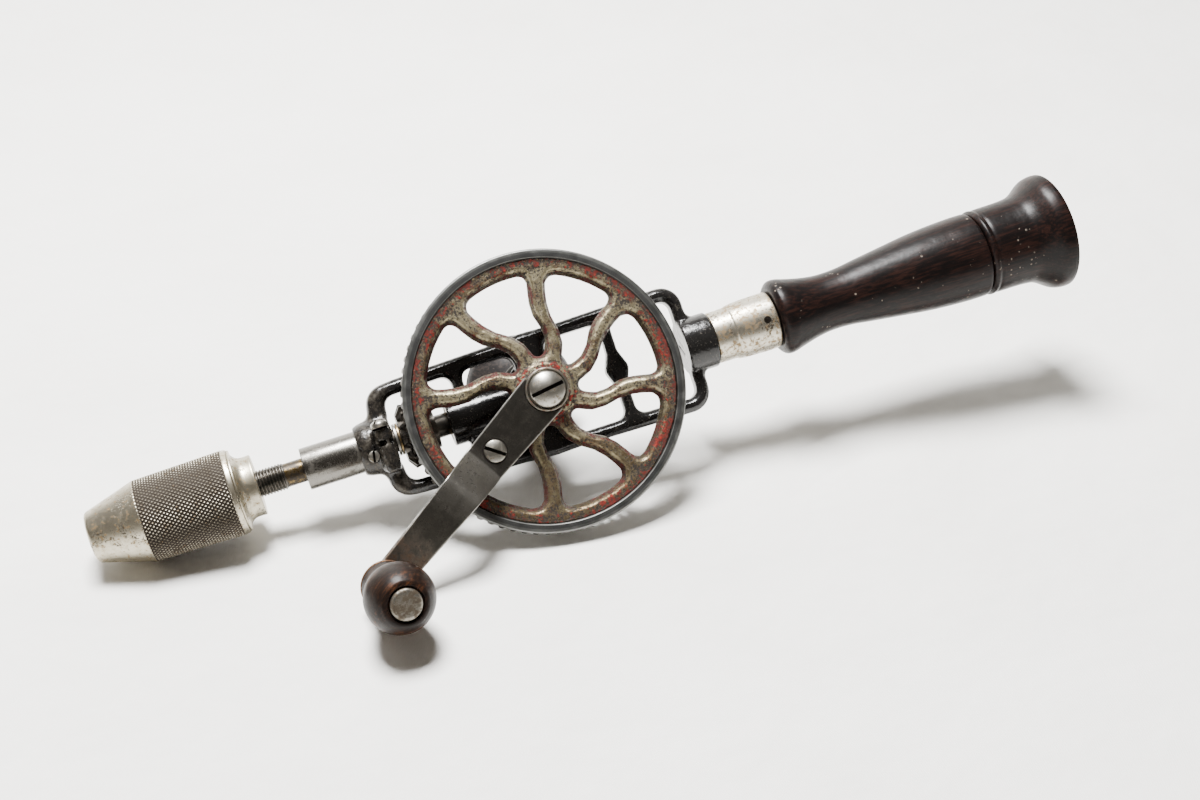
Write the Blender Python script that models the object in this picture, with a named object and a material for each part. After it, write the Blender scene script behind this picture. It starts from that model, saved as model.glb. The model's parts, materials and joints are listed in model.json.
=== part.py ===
"""Hand drill with a bevel wheel, a keyless three jaw chuck and turned wooden handles.

The drill is modelled on its own lines: X runs along the spindle towards the handle, the
wheel's axis is Y with the crank on the -Y side, and the two axes cross at the origin.
An empty then lays the whole drill down on the chuck, the toothed rim and the side knob,
as it rests on a bench, with +Z up. All sizes are in metres.
"""
import bmesh
import bpy
import numpy as np
from math import asin, atan2, cos, pi, radians, sin, sqrt, tan, tanh
from mathutils import Matrix, Vector

# Fits shared by all pieces
SEAT_GAP = 0.0003
RUN_GAP = 0.00015
SHAFT_GAP = 0.0002
CUT_OVERRUN = 0.0015
ROOT_BURY = 0.0004
ROUND_STEPS = 28
MID_STEPS = 22
SMALL_STEPS = 12
TINY_STEPS = 8
EDGE_STEPS = 1
SMOOTH_ANGLE = radians(46.0)

# Gear pair, a bevel pinion in mesh with the toothed back of the wheel's rim
TOOTH_MODULE = 0.00151
WHEEL_TEETH = 76
PINION_TEETH = 16
TOOTH_FACE_WIDTH = 0.0068
TOOTH_BACKLASH = 0.00018
PRESSURE_ANGLE = radians(20.0)
ADDENDUM_SHARE = 0.95
DEDENDUM_SHARE = 1.25
TIP_WIDTH_FLOOR_SHARE = 0.12

# Wheel
RIM_DEPTH = 0.0079
RIM_EDGE_STEP = 0.0005
RIM_RING_WIDTH = 0.0038
RIM_BAND_SINK = 0.0007
RIM_BAND_WIDTH = 0.0062
WEB_THICKNESS = 0.0062
WEB_SINK = 0.0009
WEB_ROUNDING = 0.0019
SPOKE_COUNT = 8
SPOKE_WIDTH = 0.0073
SPOKE_RIM_ANGLE = radians(-13.3)
SPOKE_SWING = radians(18.0)
SPOKE_BEND_RADIUS = 0.0260
SPOKE_BEND_LENGTH = 0.0055
WINDOW_INNER_RADIUS = 0.0140
WINDOW_LEAD_CORNER = 0.0048
WINDOW_TRAIL_CORNER = 0.0034
WINDOW_TIP_CORNER = 0.0016
HUB_PAD_RADIUS = 0.0112
HUB_PAD_RISE = 0.0006
HUB_COLLAR_RADIUS = 0.0088
HUB_COLLAR_RISE = 0.0040
HUB_RECESS_DEPTH = 0.0017
HUB_BACK_DEPTH = 0.0003

# Axle and the screw that keeps the wheel on it
AXLE_RADIUS = 0.0042
AXLE_THREAD_DEPTH = 0.0090
AXLE_TAP_RADIUS = 0.0026
AXLE_TAP_DEPTH = 0.0080
HUB_SCREW_HEAD_RADIUS = 0.0076
HUB_SCREW_HEAD_RIM = 0.0019
HUB_SCREW_DOME = 0.0028
HUB_SCREW_SHANK_RADIUS = 0.0022
HUB_SCREW_SHANK_LENGTH = 0.0062
HUB_SCREW_SLOT_WIDTH = 0.0016
HUB_SCREW_SLOT_DEPTH = 0.0024
HUB_SCREW_SLOT_ANGLE = radians(8.0)

# Crank arm, a flat bar that steps outwards past the rim
CRANK_ANGLE = radians(-148.0)
CRANK_RADIUS = 0.0992
CRANK_BUTT = 0.0021
CRANK_BUTT_WIDTH = 0.0194
CRANK_TIP_WIDTH = 0.0135
CRANK_THICKNESS = 0.0032
CRANK_STEP_START = 0.0380
CRANK_STEP_LENGTH = 0.0150
CRANK_STEP_RISE = 0.0130
CRANK_BEND_LENGTH = 0.0045
CRANK_TWIST = radians(14.0)
CRANK_TWIST_LENGTH = 0.0300
CRANK_FLAT_END_LENGTH = 0.0132
CRANK_END_STEPS = 8
CRANK_SCREW_RADIUS_OUT = 0.0321
CRANK_SCREW_HEAD_RADIUS = 0.0047
CRANK_SCREW_SEAT_DEPTH = 0.0012
CRANK_SCREW_HEAD_RIM = 0.0014
CRANK_SCREW_DOME = 0.0010
CRANK_SCREW_SHANK_RADIUS = 0.0019
CRANK_SCREW_REACH = 0.0040
CRANK_SCREW_SLOT_WIDTH = 0.0013
CRANK_SCREW_SLOT_DEPTH = 0.0013
CRANK_SCREW_SLOT_ANGLE = radians(-36.0)

# Crank pin, its washer and the knob that turns on it
PIN_RADIUS = 0.0030
PIN_HEAD_RADIUS = 0.0061
PIN_HEAD_LENGTH = 0.0026
PIN_HEAD_PROUD = 0.0012
WASHER_RADIUS = 0.0100
WASHER_THICKNESS = 0.0013
KNOB_LENGTH = 0.0340
KNOB_BASE_RADIUS = 0.0098
KNOB_NECK_RADIUS = 0.0092
KNOB_RADIUS = 0.0134
KNOB_FACE_RADIUS = 0.0088
KNOB_NECK_SHARE = 0.14
KNOB_BELLY_SHARE = 0.62
KNOB_SHOULDER_SHARE = 0.88

# Spindle, front to back, and what sits on it
SHANK_RADIUS = 0.00475
THREAD_RADIUS = 0.00550
THREAD_VISIBLE = 0.0111
THREAD_GRIP = 0.0140
THREAD_PITCH = 0.00127
THREAD_DEPTH = 0.00055
SHANK_VISIBLE = 0.0082
JOURNAL_LENGTH = 0.0170
SPINDLE_COLLAR_RADIUS = 0.0066
SPINDLE_COLLAR_LENGTH = 0.0026
PINION_BACK_LENGTH = 0.0022
PINION_BACK_RADIUS = 0.0098
PINION_HUB_RADIUS = 0.0082
PINION_HUB_LENGTH = 0.0058
PINION_PIN_RADIUS = 0.0012
THRUST_WASHER_RADIUS = 0.0066
THRUST_WASHER_THICKNESS = 0.0009

# Bearings in the frame
SLEEVE_RADIUS = 0.00865
SLEEVE_VISIBLE = 0.0218
BUSH_RADIUS = 0.0068
BUSH_LENGTH = 0.0150

# Frame casting
FRONT_BOSS_RADIUS = 0.0112
FRONT_BOSS_LENGTH = 0.0160
FRONT_RING_RADIUS = 0.0103
FRONT_RING_LENGTH = 0.0030
FRONT_WALL = 0.0080
REAR_WALL = 0.0052
FRAME_DEPTH = 0.0094
FRAME_ROUNDING = 0.0019
RAIL_WIDTH = 0.0058
FRAME_FRONT_HALF = 0.0234
FRAME_REAR_HALF = 0.0269
FRAME_BULGE = 0.0007
FRAME_BULGE_LENGTH = 0.0120
FRAME_CORNER = 0.0088
FRAME_NECK_FILLET = 0.0032
WINDOW_CORNER = 0.0040
REAR_WALL_X = 0.0626
FRONT_WEB_X = -0.0312
FRONT_WEB_WIDTH = 0.0048
AXLE_WEB_HALF = 0.0070
STRUT_X = 0.0335
STRUT_WIDTH = 0.0046
STRUT_DIAMOND_WIDTH = 0.0102
STRUT_DIAMOND_LENGTH = 0.0150
CENTRE_BOSS_RADIUS = 0.0097
CENTRE_BOSS_FRONT_X = -0.0395
CENTRE_BOSS_BACK_X = 0.0096
AXLE_PAD_RADIUS = 0.0078
KNOB_PAD_RADIUS = 0.0086
KNOB_PAD_REACH = 0.0116
REAR_BOSS_RADIUS = 0.0117
REAR_BOSS_LENGTH = 0.0128

# Split clamp on the front boss
LUG_LENGTH = 0.0068
LUG_TOP = 0.0062
LUG_BOTTOM = 0.0122
LUG_REACH = 0.0142
LUG_BACK_INSET = 0.0008
CLAMP_SPLIT = 0.0011
CLAMP_SCREW_RADIUS = 0.0017
CLAMP_HEAD_RADIUS = 0.0036
CLAMP_HEAD_RIM = 0.0018
CLAMP_HEAD_DOME = 0.0016
CLAMP_SCREW_LENGTH = 0.0120
CLAMP_SLOT_WIDTH = 0.0009
LOCK_SCREW_RADIUS = 0.0023
LOCK_SCREW_PROUD = 0.0022
LOCK_SCREW_DEPTH = 0.0014
LOCK_SCREW_DROP = 0.0040
LOCK_SCREW_INSET = 0.0057

# Chuck
NOSE_RADIUS = 0.0104
NOSE_MOUTH_RADIUS = 0.0058
NOSE_EDGE = 0.0006
CONE_LENGTH = 0.0214
CONE_RADIUS = 0.0168
KNURL_LENGTH = 0.0358
KNURL_REAR_RADIUS = 0.0176
LIP_LENGTH = 0.0020
LIP_RADIUS = 0.0173
SLEEVE_WALL = 0.0034
NOSE_WALL = 0.0036
COVE_LENGTH = 0.0083
COVE_RADIUS = 0.0046
COVE_STEPS = 6
CHUCK_FLANGE_RADIUS = 0.0125
CHUCK_CORE_RADIUS = 0.0112
JAW_COUNT = 3
JAW_OPEN_RADIUS = 0.0039
JAW_TRAVEL = 0.0032
JAW_HALF_WIDTH = 0.0026
JAW_NOSE_INSET = 0.0014
JAW_OPEN_GAP = 0.0004
JAW_FIRST_ANGLE = radians(30.0)

# Ferrule, tang and handle
FERRULE_FRONT_RADIUS = 0.0107
FERRULE_STEP_X_SHARE = 0.33
FERRULE_STEP_LENGTH = 0.0028
FERRULE_STEP_RADIUS = 0.0118
FERRULE_REAR_RADIUS = 0.0122
FERRULE_LENGTH = 0.0276
FERRULE_WALL = 0.0010
FRAME_SPIGOT_LENGTH = 0.0085
TANG_RADIUS = 0.0040
TANG_IN_FRAME = 0.0120
TANG_IN_STORE = 0.0040
FERRULE_PIN_RADIUS = 0.0013
FERRULE_PIN_LENGTH = 0.0050
FERRULE_PIN_INSET = 0.0052
FERRULE_PIN_SINK = 0.0004
BEAD_RADIUS = 0.0160
NECK_RADIUS = 0.0122
SWELL_RADIUS = 0.0183
GRIP_LENGTH = 0.0940
GRIP_BORE_RADIUS = 0.0092
GRIP_BORE_DEPTH = 0.0560
GROOVE_DEPTH = 0.0010
GROOVE_WIDTH = 0.0012
CAP_LENGTH = 0.0400
CAP_WAIST_RADIUS = 0.0190
CAP_RIM_RADIUS = 0.0251
CAP_DOME = 0.0040
CAP_SPIGOT_LENGTH = 0.0130
CAP_BORE_RADIUS = 0.0060
CAP_BORE_DEPTH = 0.0220

# Side knob on the far side of the frame
SIDE_KNOB_RADIUS = 0.0237
SIDE_KNOB_LENGTH = 0.0310
SIDE_KNOB_X = -0.0028
SIDE_KNOB_Z = 0.0060
SIDE_KNOB_WIDEST_SHARE = 0.70
SIDE_BOLT_RADIUS = 0.0032
SIDE_BOLT_HEAD_RADIUS = 0.0064
SIDE_BOLT_HEAD_LENGTH = 0.0024
SIDE_BOLT_SINK = 0.0012
SIDE_BOLT_IN_FRAME = 0.0050
SIDE_COLLAR_RADIUS = 0.0098
SIDE_COLLAR_LENGTH = 0.0026

# Turned outlines, as shares along the piece and of its named radii
HANDLE_LENGTH_SHARES = (0.000, 0.012, 0.036, 0.075, 0.130, 0.200, 0.270, 0.345, 0.435, 0.580,
                        0.720, 0.850, 0.950, 1.000)
HANDLE_SWELL_SHARES = (0.740, 0.840, 0.876, 0.858, 0.790, 0.712, 0.668, 0.676, 0.745, 0.842,
                       0.935, 0.985, 1.000, 1.000)
CAP_LENGTH_SHARES = (0.000, 0.140, 0.330, 0.560, 0.640, 0.700, 0.760, 0.830, 0.900)
CAP_RIM_SHARES = (0.728, 0.728, 0.736, 0.764, 0.812, 0.880, 0.946, 0.992, 1.000)
SIDE_KNOB_LENGTH_SHARES = (0.000, 0.060, 0.160, 0.300, 0.450, 0.600)
SIDE_KNOB_SWELL_SHARES = (0.405, 0.380, 0.355, 0.470, 0.700, 0.920)

# Places worked out from the sizes above, along the spindle
wheel_pitch_radius = TOOTH_MODULE * WHEEL_TEETH / 2
pinion_pitch_radius = TOOTH_MODULE * PINION_TEETH / 2
cone_distance = sqrt(wheel_pitch_radius ** 2 + pinion_pitch_radius ** 2)
tooth_small_share = 1 - TOOTH_FACE_WIDTH / cone_distance
pinion_back_x = -wheel_pitch_radius - PINION_BACK_LENGTH
washer_front_x = pinion_back_x - 2 * (THRUST_WASHER_THICKNESS + SEAT_GAP)
front_boss_back_x = washer_front_x - SEAT_GAP
front_boss_front_x = front_boss_back_x - FRONT_BOSS_LENGTH
sleeve_front_x = front_boss_front_x - SLEEVE_VISIBLE
thread_back_x = sleeve_front_x - SHANK_VISIBLE + SHAFT_GAP
chuck_back_x = thread_back_x - THREAD_VISIBLE
chuck_lip_x = chuck_back_x - COVE_LENGTH
chuck_knurl_back_x = chuck_lip_x - LIP_LENGTH
chuck_cone_x = chuck_knurl_back_x - KNURL_LENGTH
chuck_nose_x = chuck_cone_x - CONE_LENGTH
pinion_front_x = -wheel_pitch_radius * tooth_small_share + PINION_HUB_LENGTH
rear_boss_front_x = REAR_WALL_X
rear_boss_back_x = REAR_WALL_X + REAR_BOSS_LENGTH
ferrule_front_x = rear_boss_back_x + SEAT_GAP
ferrule_back_x = ferrule_front_x + FERRULE_LENGTH
grip_front_x = ferrule_back_x + SEAT_GAP
grip_back_x = grip_front_x + GRIP_LENGTH
cap_front_x = grip_back_x + SEAT_GAP
tang_back_x = grip_back_x - GRIP_BORE_DEPTH + TANG_IN_STORE
cap_back_x = cap_front_x + CAP_LENGTH

# Places across the spindle, towards the crank
rim_front_y = -pinion_pitch_radius - RIM_DEPTH
web_front_y = rim_front_y + WEB_SINK
web_back_y = web_front_y + WEB_THICKNESS
hub_pad_y = rim_front_y - HUB_PAD_RISE
hub_collar_y = hub_pad_y - HUB_COLLAR_RISE
hub_recess_y = hub_collar_y + HUB_RECESS_DEPTH
hub_back_y = -CENTRE_BOSS_RADIUS - SEAT_GAP - HUB_BACK_DEPTH
axle_end_y = hub_recess_y - SEAT_GAP
arm_back_y = hub_pad_y - SEAT_GAP
arm_front_y = arm_back_y - CRANK_THICKNESS
arm_tip_y = (arm_back_y + arm_front_y) / 2 - CRANK_STEP_RISE
washer_out = CRANK_THICKNESS / 2 + SEAT_GAP
knob_out = washer_out + WASHER_THICKNESS + SEAT_GAP
window_outer_radius = wheel_pitch_radius - RIM_RING_WIDTH - RIM_BAND_WIDTH
rim_inner_radius = window_outer_radius + WEB_ROUNDING + ROOT_BURY
crank_x = CRANK_RADIUS * cos(CRANK_ANGLE)
crank_z = CRANK_RADIUS * sin(CRANK_ANGLE)
crank_twist_start = CRANK_RADIUS - CRANK_FLAT_END_LENGTH - CRANK_TWIST_LENGTH

# Places on the far side
side_collar_y = KNOB_PAD_REACH + SEAT_GAP
side_knob_y = side_collar_y + SIDE_COLLAR_LENGTH + SEAT_GAP
side_knob_end_y = side_knob_y + SIDE_KNOB_LENGTH
side_knob_widest_y = side_knob_y + SIDE_KNOB_WIDEST_SHARE * SIDE_KNOB_LENGTH


def clear_scene():
    """Remove every object that the file opened with."""
    for obj in list(bpy.data.objects):
        bpy.data.objects.remove(obj)


def finish(name, color, roughness, metallic):
    """A plain surface in the piece's own colour."""
    mat = bpy.data.materials.new(name)
    mat.use_nodes = True
    shader = mat.node_tree.nodes["Principled BSDF"]
    shader.inputs["Base Color"].default_value = (*color, 1.0)
    shader.inputs["Roughness"].default_value = roughness
    shader.inputs["Metallic"].default_value = metallic
    mat.diffuse_color = (*color, 1.0)
    return mat


def empty(name, parent=None, location=(0, 0, 0), rotation=(0, 0, 0)):
    """A parent to carry pieces, which is not a piece itself."""
    obj = bpy.data.objects.new(name, None)
    bpy.context.scene.collection.objects.link(obj)
    obj.parent = parent
    obj.location = location
    obj.rotation_euler = rotation
    return obj


def place(bm, name, parent, mat, location=(0, 0, 0), rotation=(0, 0, 0)):
    """Turn a finished bmesh into a named object with outward faces."""
    bmesh.ops.recalc_face_normals(bm, faces=bm.faces)
    if bm.calc_volume(signed=True) < 0:
        bmesh.ops.reverse_faces(bm, faces=bm.faces)
    mesh = bpy.data.meshes.new(name)
    bm.to_mesh(mesh)
    bm.free()
    mesh.shade_smooth()
    mesh.set_sharp_from_angle(angle=SMOOTH_ANGLE)
    obj = bpy.data.objects.new(name, mesh)
    bpy.context.scene.collection.objects.link(obj)
    if mat is not None:
        mesh.materials.append(mat)
    obj.parent = parent
    obj.location = location
    obj.rotation_euler = rotation
    return obj


def helper(obj):
    """Mark a cutter or an added form so that it stays out of the finished drill."""
    obj.hide_render = True
    obj.display_type = "WIRE"
    return obj


def combine(target, other, operation):
    """Add one exact Boolean step to a piece."""
    step = target.modifiers.new(other.name, "BOOLEAN")
    step.operation = operation
    step.solver = "EXACT"
    step.object = helper(other)


def fuse(target, *others):
    """Join helper forms to a piece."""
    for other in others:
        combine(target, other, "UNION")


def carve(target, *others):
    """Cut helper forms out of a piece."""
    for other in others:
        combine(target, other, "DIFFERENCE")


def turned_bmesh(profile, steps):
    """Spin a profile of (distance along the axis, radius) about X, ends closed on the axis."""
    bm = bmesh.new()
    ring = [bm.verts.new((along, 0, radius)) for along, radius in profile]
    open_ended = profile[0][1] == 0 or profile[-1][1] == 0
    pairs = list(zip(ring, ring[1:]))
    if not open_ended:
        pairs.append((ring[-1], ring[0]))
    edges = [bm.edges.new(pair) for pair in pairs]
    bmesh.ops.spin(bm, geom=ring + edges, axis=(1, 0, 0), cent=(0, 0, 0), angle=2 * pi,
                   steps=steps, use_duplicate=False)
    bmesh.ops.remove_doubles(bm, verts=bm.verts, dist=SEAT_GAP / ROUND_STEPS)
    return bm


AXIS_TURNS = {"+X": (0, 0, 0), "-X": (0, 0, pi), "+Y": (0, 0, pi / 2), "-Y": (0, 0, -pi / 2),
              "+Z": (0, -pi / 2, 0), "-Z": (0, pi / 2, 0)}


def turned(name, profile, parent, mat=None, along="+X", at=(0, 0, 0), steps=ROUND_STEPS):
    """A round piece whose profile runs along one of the drill's axes."""
    return place(turned_bmesh(profile, steps), name, parent, mat, at, AXIS_TURNS[along])


def rod(name, start, length, radius, parent, mat=None, along="+X", at=(0, 0, 0),
        steps=ROUND_STEPS):
    """A plain cylinder from start over length along its axis."""
    profile = ((start, 0), (start, radius), (start + length, radius), (start + length, 0))
    return turned(name, profile, parent, mat, along, at, steps)


def block(name, low, high, parent, mat=None, location=(0, 0, 0), rotation=(0, 0, 0)):
    """A box between two corners."""
    bm = bmesh.new()
    bmesh.ops.create_cube(bm, size=1)
    low, high = Vector(low), Vector(high)
    for vert in bm.verts:
        vert.co = Vector(((low[i] + high[i]) / 2 + vert.co[i] * (high[i] - low[i])
                          for i in range(3)))
    return place(bm, name, parent, mat, location, rotation)


def dome(start, radius, rise, steps):
    """Points of a spherical cap that rises from radius to the axis."""
    ball = (radius ** 2 + rise ** 2) / (2 * rise)
    half = asin(min(1, radius / ball))
    points = []
    for i in range(1, steps + 1):
        angle = half * (1 - i / steps)
        points.append((start + ball * cos(angle) - (ball - rise), ball * sin(angle)))
    points[-1] = (start + rise, 0)
    return points


def screw_profile(shank_radius, shank_length, head_radius, head_rim, head_dome):
    """A domed screw, tip first, whose head seats at zero."""
    tip = shank_radius * 0.5
    return [(-shank_length, 0), (-shank_length, tip), (-shank_length + tip, shank_radius),
            (0, shank_radius), (0, head_radius), (head_rim, head_radius),
            *dome(head_rim, head_radius, head_dome, 4)]


def arc(centre, radius, first, last, steps):
    """Points round part of a circle, ends included."""
    angles = np.linspace(first, last, steps + 1)
    return [(centre[0] + radius * cos(a), centre[1] + radius * sin(a)) for a in angles]


def offset_loop(points, distance):
    """Move a closed outline sideways by a distance, to the left of its own direction."""
    loop = np.array(points, dtype=float)
    ahead = np.roll(loop, -1, axis=0) - loop
    ahead /= np.linalg.norm(ahead, axis=1)[:, None]
    behind = np.roll(ahead, 1, axis=0)
    left = np.column_stack((-ahead[:, 1] - behind[:, 1], ahead[:, 0] + behind[:, 0]))
    left /= np.linalg.norm(left, axis=1)[:, None]
    reach = 1 / np.maximum(0.5, (left * np.column_stack((-ahead[:, 1], ahead[:, 0]))).sum(1))
    return loop + left * (distance * reach)[:, None]


def loop_area(points):
    """Signed area of a closed outline."""
    loop = np.array(points, dtype=float)
    after = np.roll(loop, -1, axis=0)
    return float((loop[:, 0] * after[:, 1] - after[:, 0] * loop[:, 1]).sum()) / 2


def edge_layers(front, back, rounding):
    """Layers of (inset, y) that round a flat form's front and back edges."""
    turns = [i * pi / 2 / EDGE_STEPS for i in range(EDGE_STEPS + 1)]
    layers = [(rounding * (1 - sin(t)), front + rounding * (1 - cos(t))) for t in turns]
    return layers + [(inset, front + back - y) for inset, y in reversed(layers)]


def wall_loop(bm, points, layers, inwards):
    """Stand an outline up as a wall of layers and return its first and last rings."""
    side = 1 if (loop_area(points) > 0) == inwards else -1
    rings = []
    for inset, y in layers:
        loop = offset_loop(points, inset * side)
        rings.append([bm.verts.new((x, y, z)) for x, z in loop])
    for a, b in zip(rings, rings[1:]):
        for i in range(len(a)):
            j = (i + 1) % len(a)
            bm.faces.new((a[i], a[j], b[j], b[i]))
    return rings[0], rings[-1]


def ring_edges(bm, ring):
    """Edges that run round a closed ring of vertices."""
    return [bm.edges.get((ring[i - 1], ring[i])) or bm.edges.new((ring[i - 1], ring[i]))
            for i in range(len(ring))]


def fill_between(bm, rings):
    """Close the flat face that lies between an outer ring and the rings inside it."""
    edges = [edge for ring in rings for edge in ring_edges(bm, ring)]
    bmesh.ops.triangle_fill(bm, use_beauty=True, use_dissolve=False, edges=edges)


def plate(name, outer, holes, front, back, rounding, parent, mat=None):
    """A flat cast form: an outline in X and Z with holes, rounded at front and back."""
    layers = edge_layers(front, back, rounding)
    bm = bmesh.new()
    walls = [wall_loop(bm, outer, layers, True)]
    walls += [wall_loop(bm, hole, layers, False) for hole in holes]
    for end in (0, 1):
        fill_between(bm, [wall[end] for wall in walls])
    return place(bm, name, parent, mat)


def tooth_half_angles(pitch_radius, teeth):
    """Half angles of a tooth at its tip and at its root."""
    half = pi * TOOTH_MODULE / 4 - TOOTH_BACKLASH / 2
    tip = half - ADDENDUM_SHARE * TOOTH_MODULE * tan(PRESSURE_ANGLE)
    tip = max(tip, TIP_WIDTH_FLOOR_SHARE * TOOTH_MODULE)
    root = half + DEDENDUM_SHARE * TOOTH_MODULE * tan(PRESSURE_ANGLE)
    limit = 0.96 * pi / teeth
    return tip / pitch_radius, min(root / pitch_radius, limit)


def rim_profile(root_r, root_y):
    """Section of the rim between two teeth, from the outer root round to the inner one."""
    ring_inner = wheel_pitch_radius - RIM_RING_WIDTH
    return [(root_r, root_y), (wheel_pitch_radius, rim_front_y + RIM_EDGE_STEP),
            (wheel_pitch_radius - RIM_EDGE_STEP, rim_front_y), (ring_inner, rim_front_y),
            (ring_inner - RIM_EDGE_STEP, rim_front_y + RIM_BAND_SINK),
            (rim_inner_radius, rim_front_y + RIM_BAND_SINK), (rim_inner_radius, web_front_y),
            (rim_inner_radius, web_back_y), (rim_inner_radius, root_y * tooth_small_share),
            (root_r * tooth_small_share, root_y * tooth_small_share)]


def toothed_wheel(parent, mat):
    """Rim and web in one body: bevel teeth on the rim's back, windows through the web."""
    cone = atan2(wheel_pitch_radius, pinion_pitch_radius)
    tip_out = ADDENDUM_SHARE * TOOTH_MODULE
    root_in = DEDENDUM_SHARE * TOOTH_MODULE
    tip_r = wheel_pitch_radius + tip_out * cos(cone)
    tip_y = -pinion_pitch_radius + tip_out * sin(cone)
    root_r = wheel_pitch_radius - root_in * cos(cone)
    root_y = -pinion_pitch_radius - root_in * sin(cone)
    tip_half, root_half = tooth_half_angles(wheel_pitch_radius, WHEEL_TEETH)
    profile = rim_profile(root_r, root_y)
    web_first, web_last = 6, 7
    bm = bmesh.new()
    pitch = 2 * pi / WHEEL_TEETH
    start = pi + pitch / 2

    def spot(radius, y, angle):
        return bm.verts.new((radius * cos(angle), y, radius * sin(angle)))

    gaps, teeth_out, teeth_in = [], [], []
    for k in range(WHEEL_TEETH):
        centre = start + k * pitch
        gaps.append([spot(radius, y, centre - pitch / 2) for radius, y in profile])
        for share, store in ((1, teeth_out), (tooth_small_share, teeth_in)):
            row = []
            for radius, y, angle in ((root_r, root_y, -root_half), (tip_r, tip_y, -tip_half),
                                     (tip_r, tip_y, tip_half), (root_r, root_y, root_half)):
                row.append(spot(radius * share, y * share, centre + angle))
            store.append(row)
    for k in range(WHEEL_TEETH):
        a, b = gaps[k], gaps[(k + 1) % WHEEL_TEETH]
        outer, inner = teeth_out[k], teeth_in[k]
        for i in range(len(profile) - 1):
            if i != web_first:
                bm.faces.new((a[i], b[i], b[i + 1], a[i + 1]))
        for edge, row in ((0, outer), (-1, inner)):
            bm.faces.new((a[edge], row[0], row[3], b[edge]))
            bm.faces.new(row)
        for i in range(3):
            bm.faces.new((outer[i], outer[i + 1], inner[i + 1], inner[i]))
        bm.faces.new((a[0], outer[0], inner[0], a[-1]))
        bm.faces.new((outer[3], b[0], b[-1], inner[3]))
    layers = edge_layers(web_front_y, web_back_y, WEB_ROUNDING)
    windows = [wall_loop(bm, window_outline(k), layers, False) for k in range(SPOKE_COUNT)]
    for end, row in ((0, web_first), (1, web_last)):
        fill_between(bm, [[gap[row] for gap in gaps]] + [wall[end] for wall in windows])
    return place(bm, "gear_wheel", parent, mat)


def spoke_angle(radius, index):
    """Angle of a spoke's middle line at a radius: it swings forward on its way out."""
    lag = SPOKE_SWING / 2 * (1 - tanh((radius - SPOKE_BEND_RADIUS) / SPOKE_BEND_LENGTH))
    return SPOKE_RIM_ANGLE + 2 * pi * index / SPOKE_COUNT - lag


def corner_inset(radius, corner):
    """How far a rounded corner at the window's outer end leans in at a radius."""
    into = radius - (window_outer_radius - corner)
    if into <= 0:
        return 0
    return corner - sqrt(max(0, corner ** 2 - into ** 2))


def tip_inset(radius):
    """How far the rounding at the window's inner tip leans in at a radius."""
    into = WINDOW_INNER_RADIUS + WINDOW_TIP_CORNER - radius
    if into <= 0:
        return 0
    return WINDOW_TIP_CORNER - sqrt(max(0, WINDOW_TIP_CORNER ** 2 - into ** 2))


def window_outline(index):
    """One opening between two spokes, once round."""
    span = window_outer_radius - WINDOW_INNER_RADIUS
    shares = 0.5 - 0.5 * np.cos(np.linspace(0, pi, 11))
    radii = WINDOW_INNER_RADIUS + span * shares
    first, last = [], []
    for radius in radii:
        half = SPOKE_WIDTH / 2
        low = half + corner_inset(radius, WINDOW_TRAIL_CORNER) + tip_inset(radius)
        high = half + corner_inset(radius, WINDOW_LEAD_CORNER) + tip_inset(radius)
        first.append((radius, spoke_angle(radius, index) + low / radius))
        last.append((radius, spoke_angle(radius, index + 1) - high / radius))
    start, end = first[-1][1], last[-1][1]
    top = [(window_outer_radius, start + (end - start) * share / 6) for share in range(1, 6)]
    polar = first + top + last[::-1]
    return [(radius * cos(angle), radius * sin(angle)) for radius, angle in polar]


def build_wheel(parent, mat):
    """Spoked wheel: toothed rim, web with curved spokes, and the hub with its collar."""
    wheel = toothed_wheel(parent, mat)
    front = -hub_pad_y
    hub = turned("wheel_hub_form", (
        (-hub_back_y, 0), (-hub_back_y, HUB_PAD_RADIUS), (front, HUB_PAD_RADIUS),
        (front, HUB_COLLAR_RADIUS), (-hub_collar_y, HUB_COLLAR_RADIUS), (-hub_collar_y, 0)),
        parent, along="-Y")
    recess = rod("wheel_recess_form", -hub_recess_y, HUB_RECESS_DEPTH + CUT_OVERRUN,
                 HUB_SCREW_HEAD_RADIUS + SEAT_GAP, parent, along="-Y")
    bore = rod("wheel_bore_form", -hub_back_y - CUT_OVERRUN,
               hub_back_y - hub_collar_y + 2 * CUT_OVERRUN, AXLE_RADIUS + RUN_GAP, parent,
               along="-Y")
    hole_at = crank_screw_at()
    pad = rod("wheel_screw_pad_form", -web_back_y + CUT_OVERRUN, hub_pad_depth(),
              CRANK_SCREW_HEAD_RADIUS, parent, along="-Y", at=hole_at, steps=SMALL_STEPS)
    tap = rod("wheel_tap_form", -arm_back_y - CRANK_SCREW_REACH - SEAT_GAP,
              CRANK_SCREW_REACH + CUT_OVERRUN, CRANK_SCREW_SHANK_RADIUS + SEAT_GAP, parent,
              along="-Y", at=hole_at, steps=TINY_STEPS)
    fuse(wheel, hub, pad)
    carve(wheel, recess, bore, tap)
    return wheel


def hub_pad_depth():
    """Length of the screw pad from inside the web up to the arm's seat."""
    return -hub_pad_y + web_back_y - CUT_OVERRUN


def slot_cutter(name, parent, at, along_y, width, depth, half_length, angle):
    """A screwdriver slot in a head that faces -Y at a turn about its own axis."""
    return block(name, (-half_length, along_y - CUT_OVERRUN, -width / 2),
                 (half_length, along_y + depth, width / 2), parent,
                 location=at, rotation=(0, -angle, 0))


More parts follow.
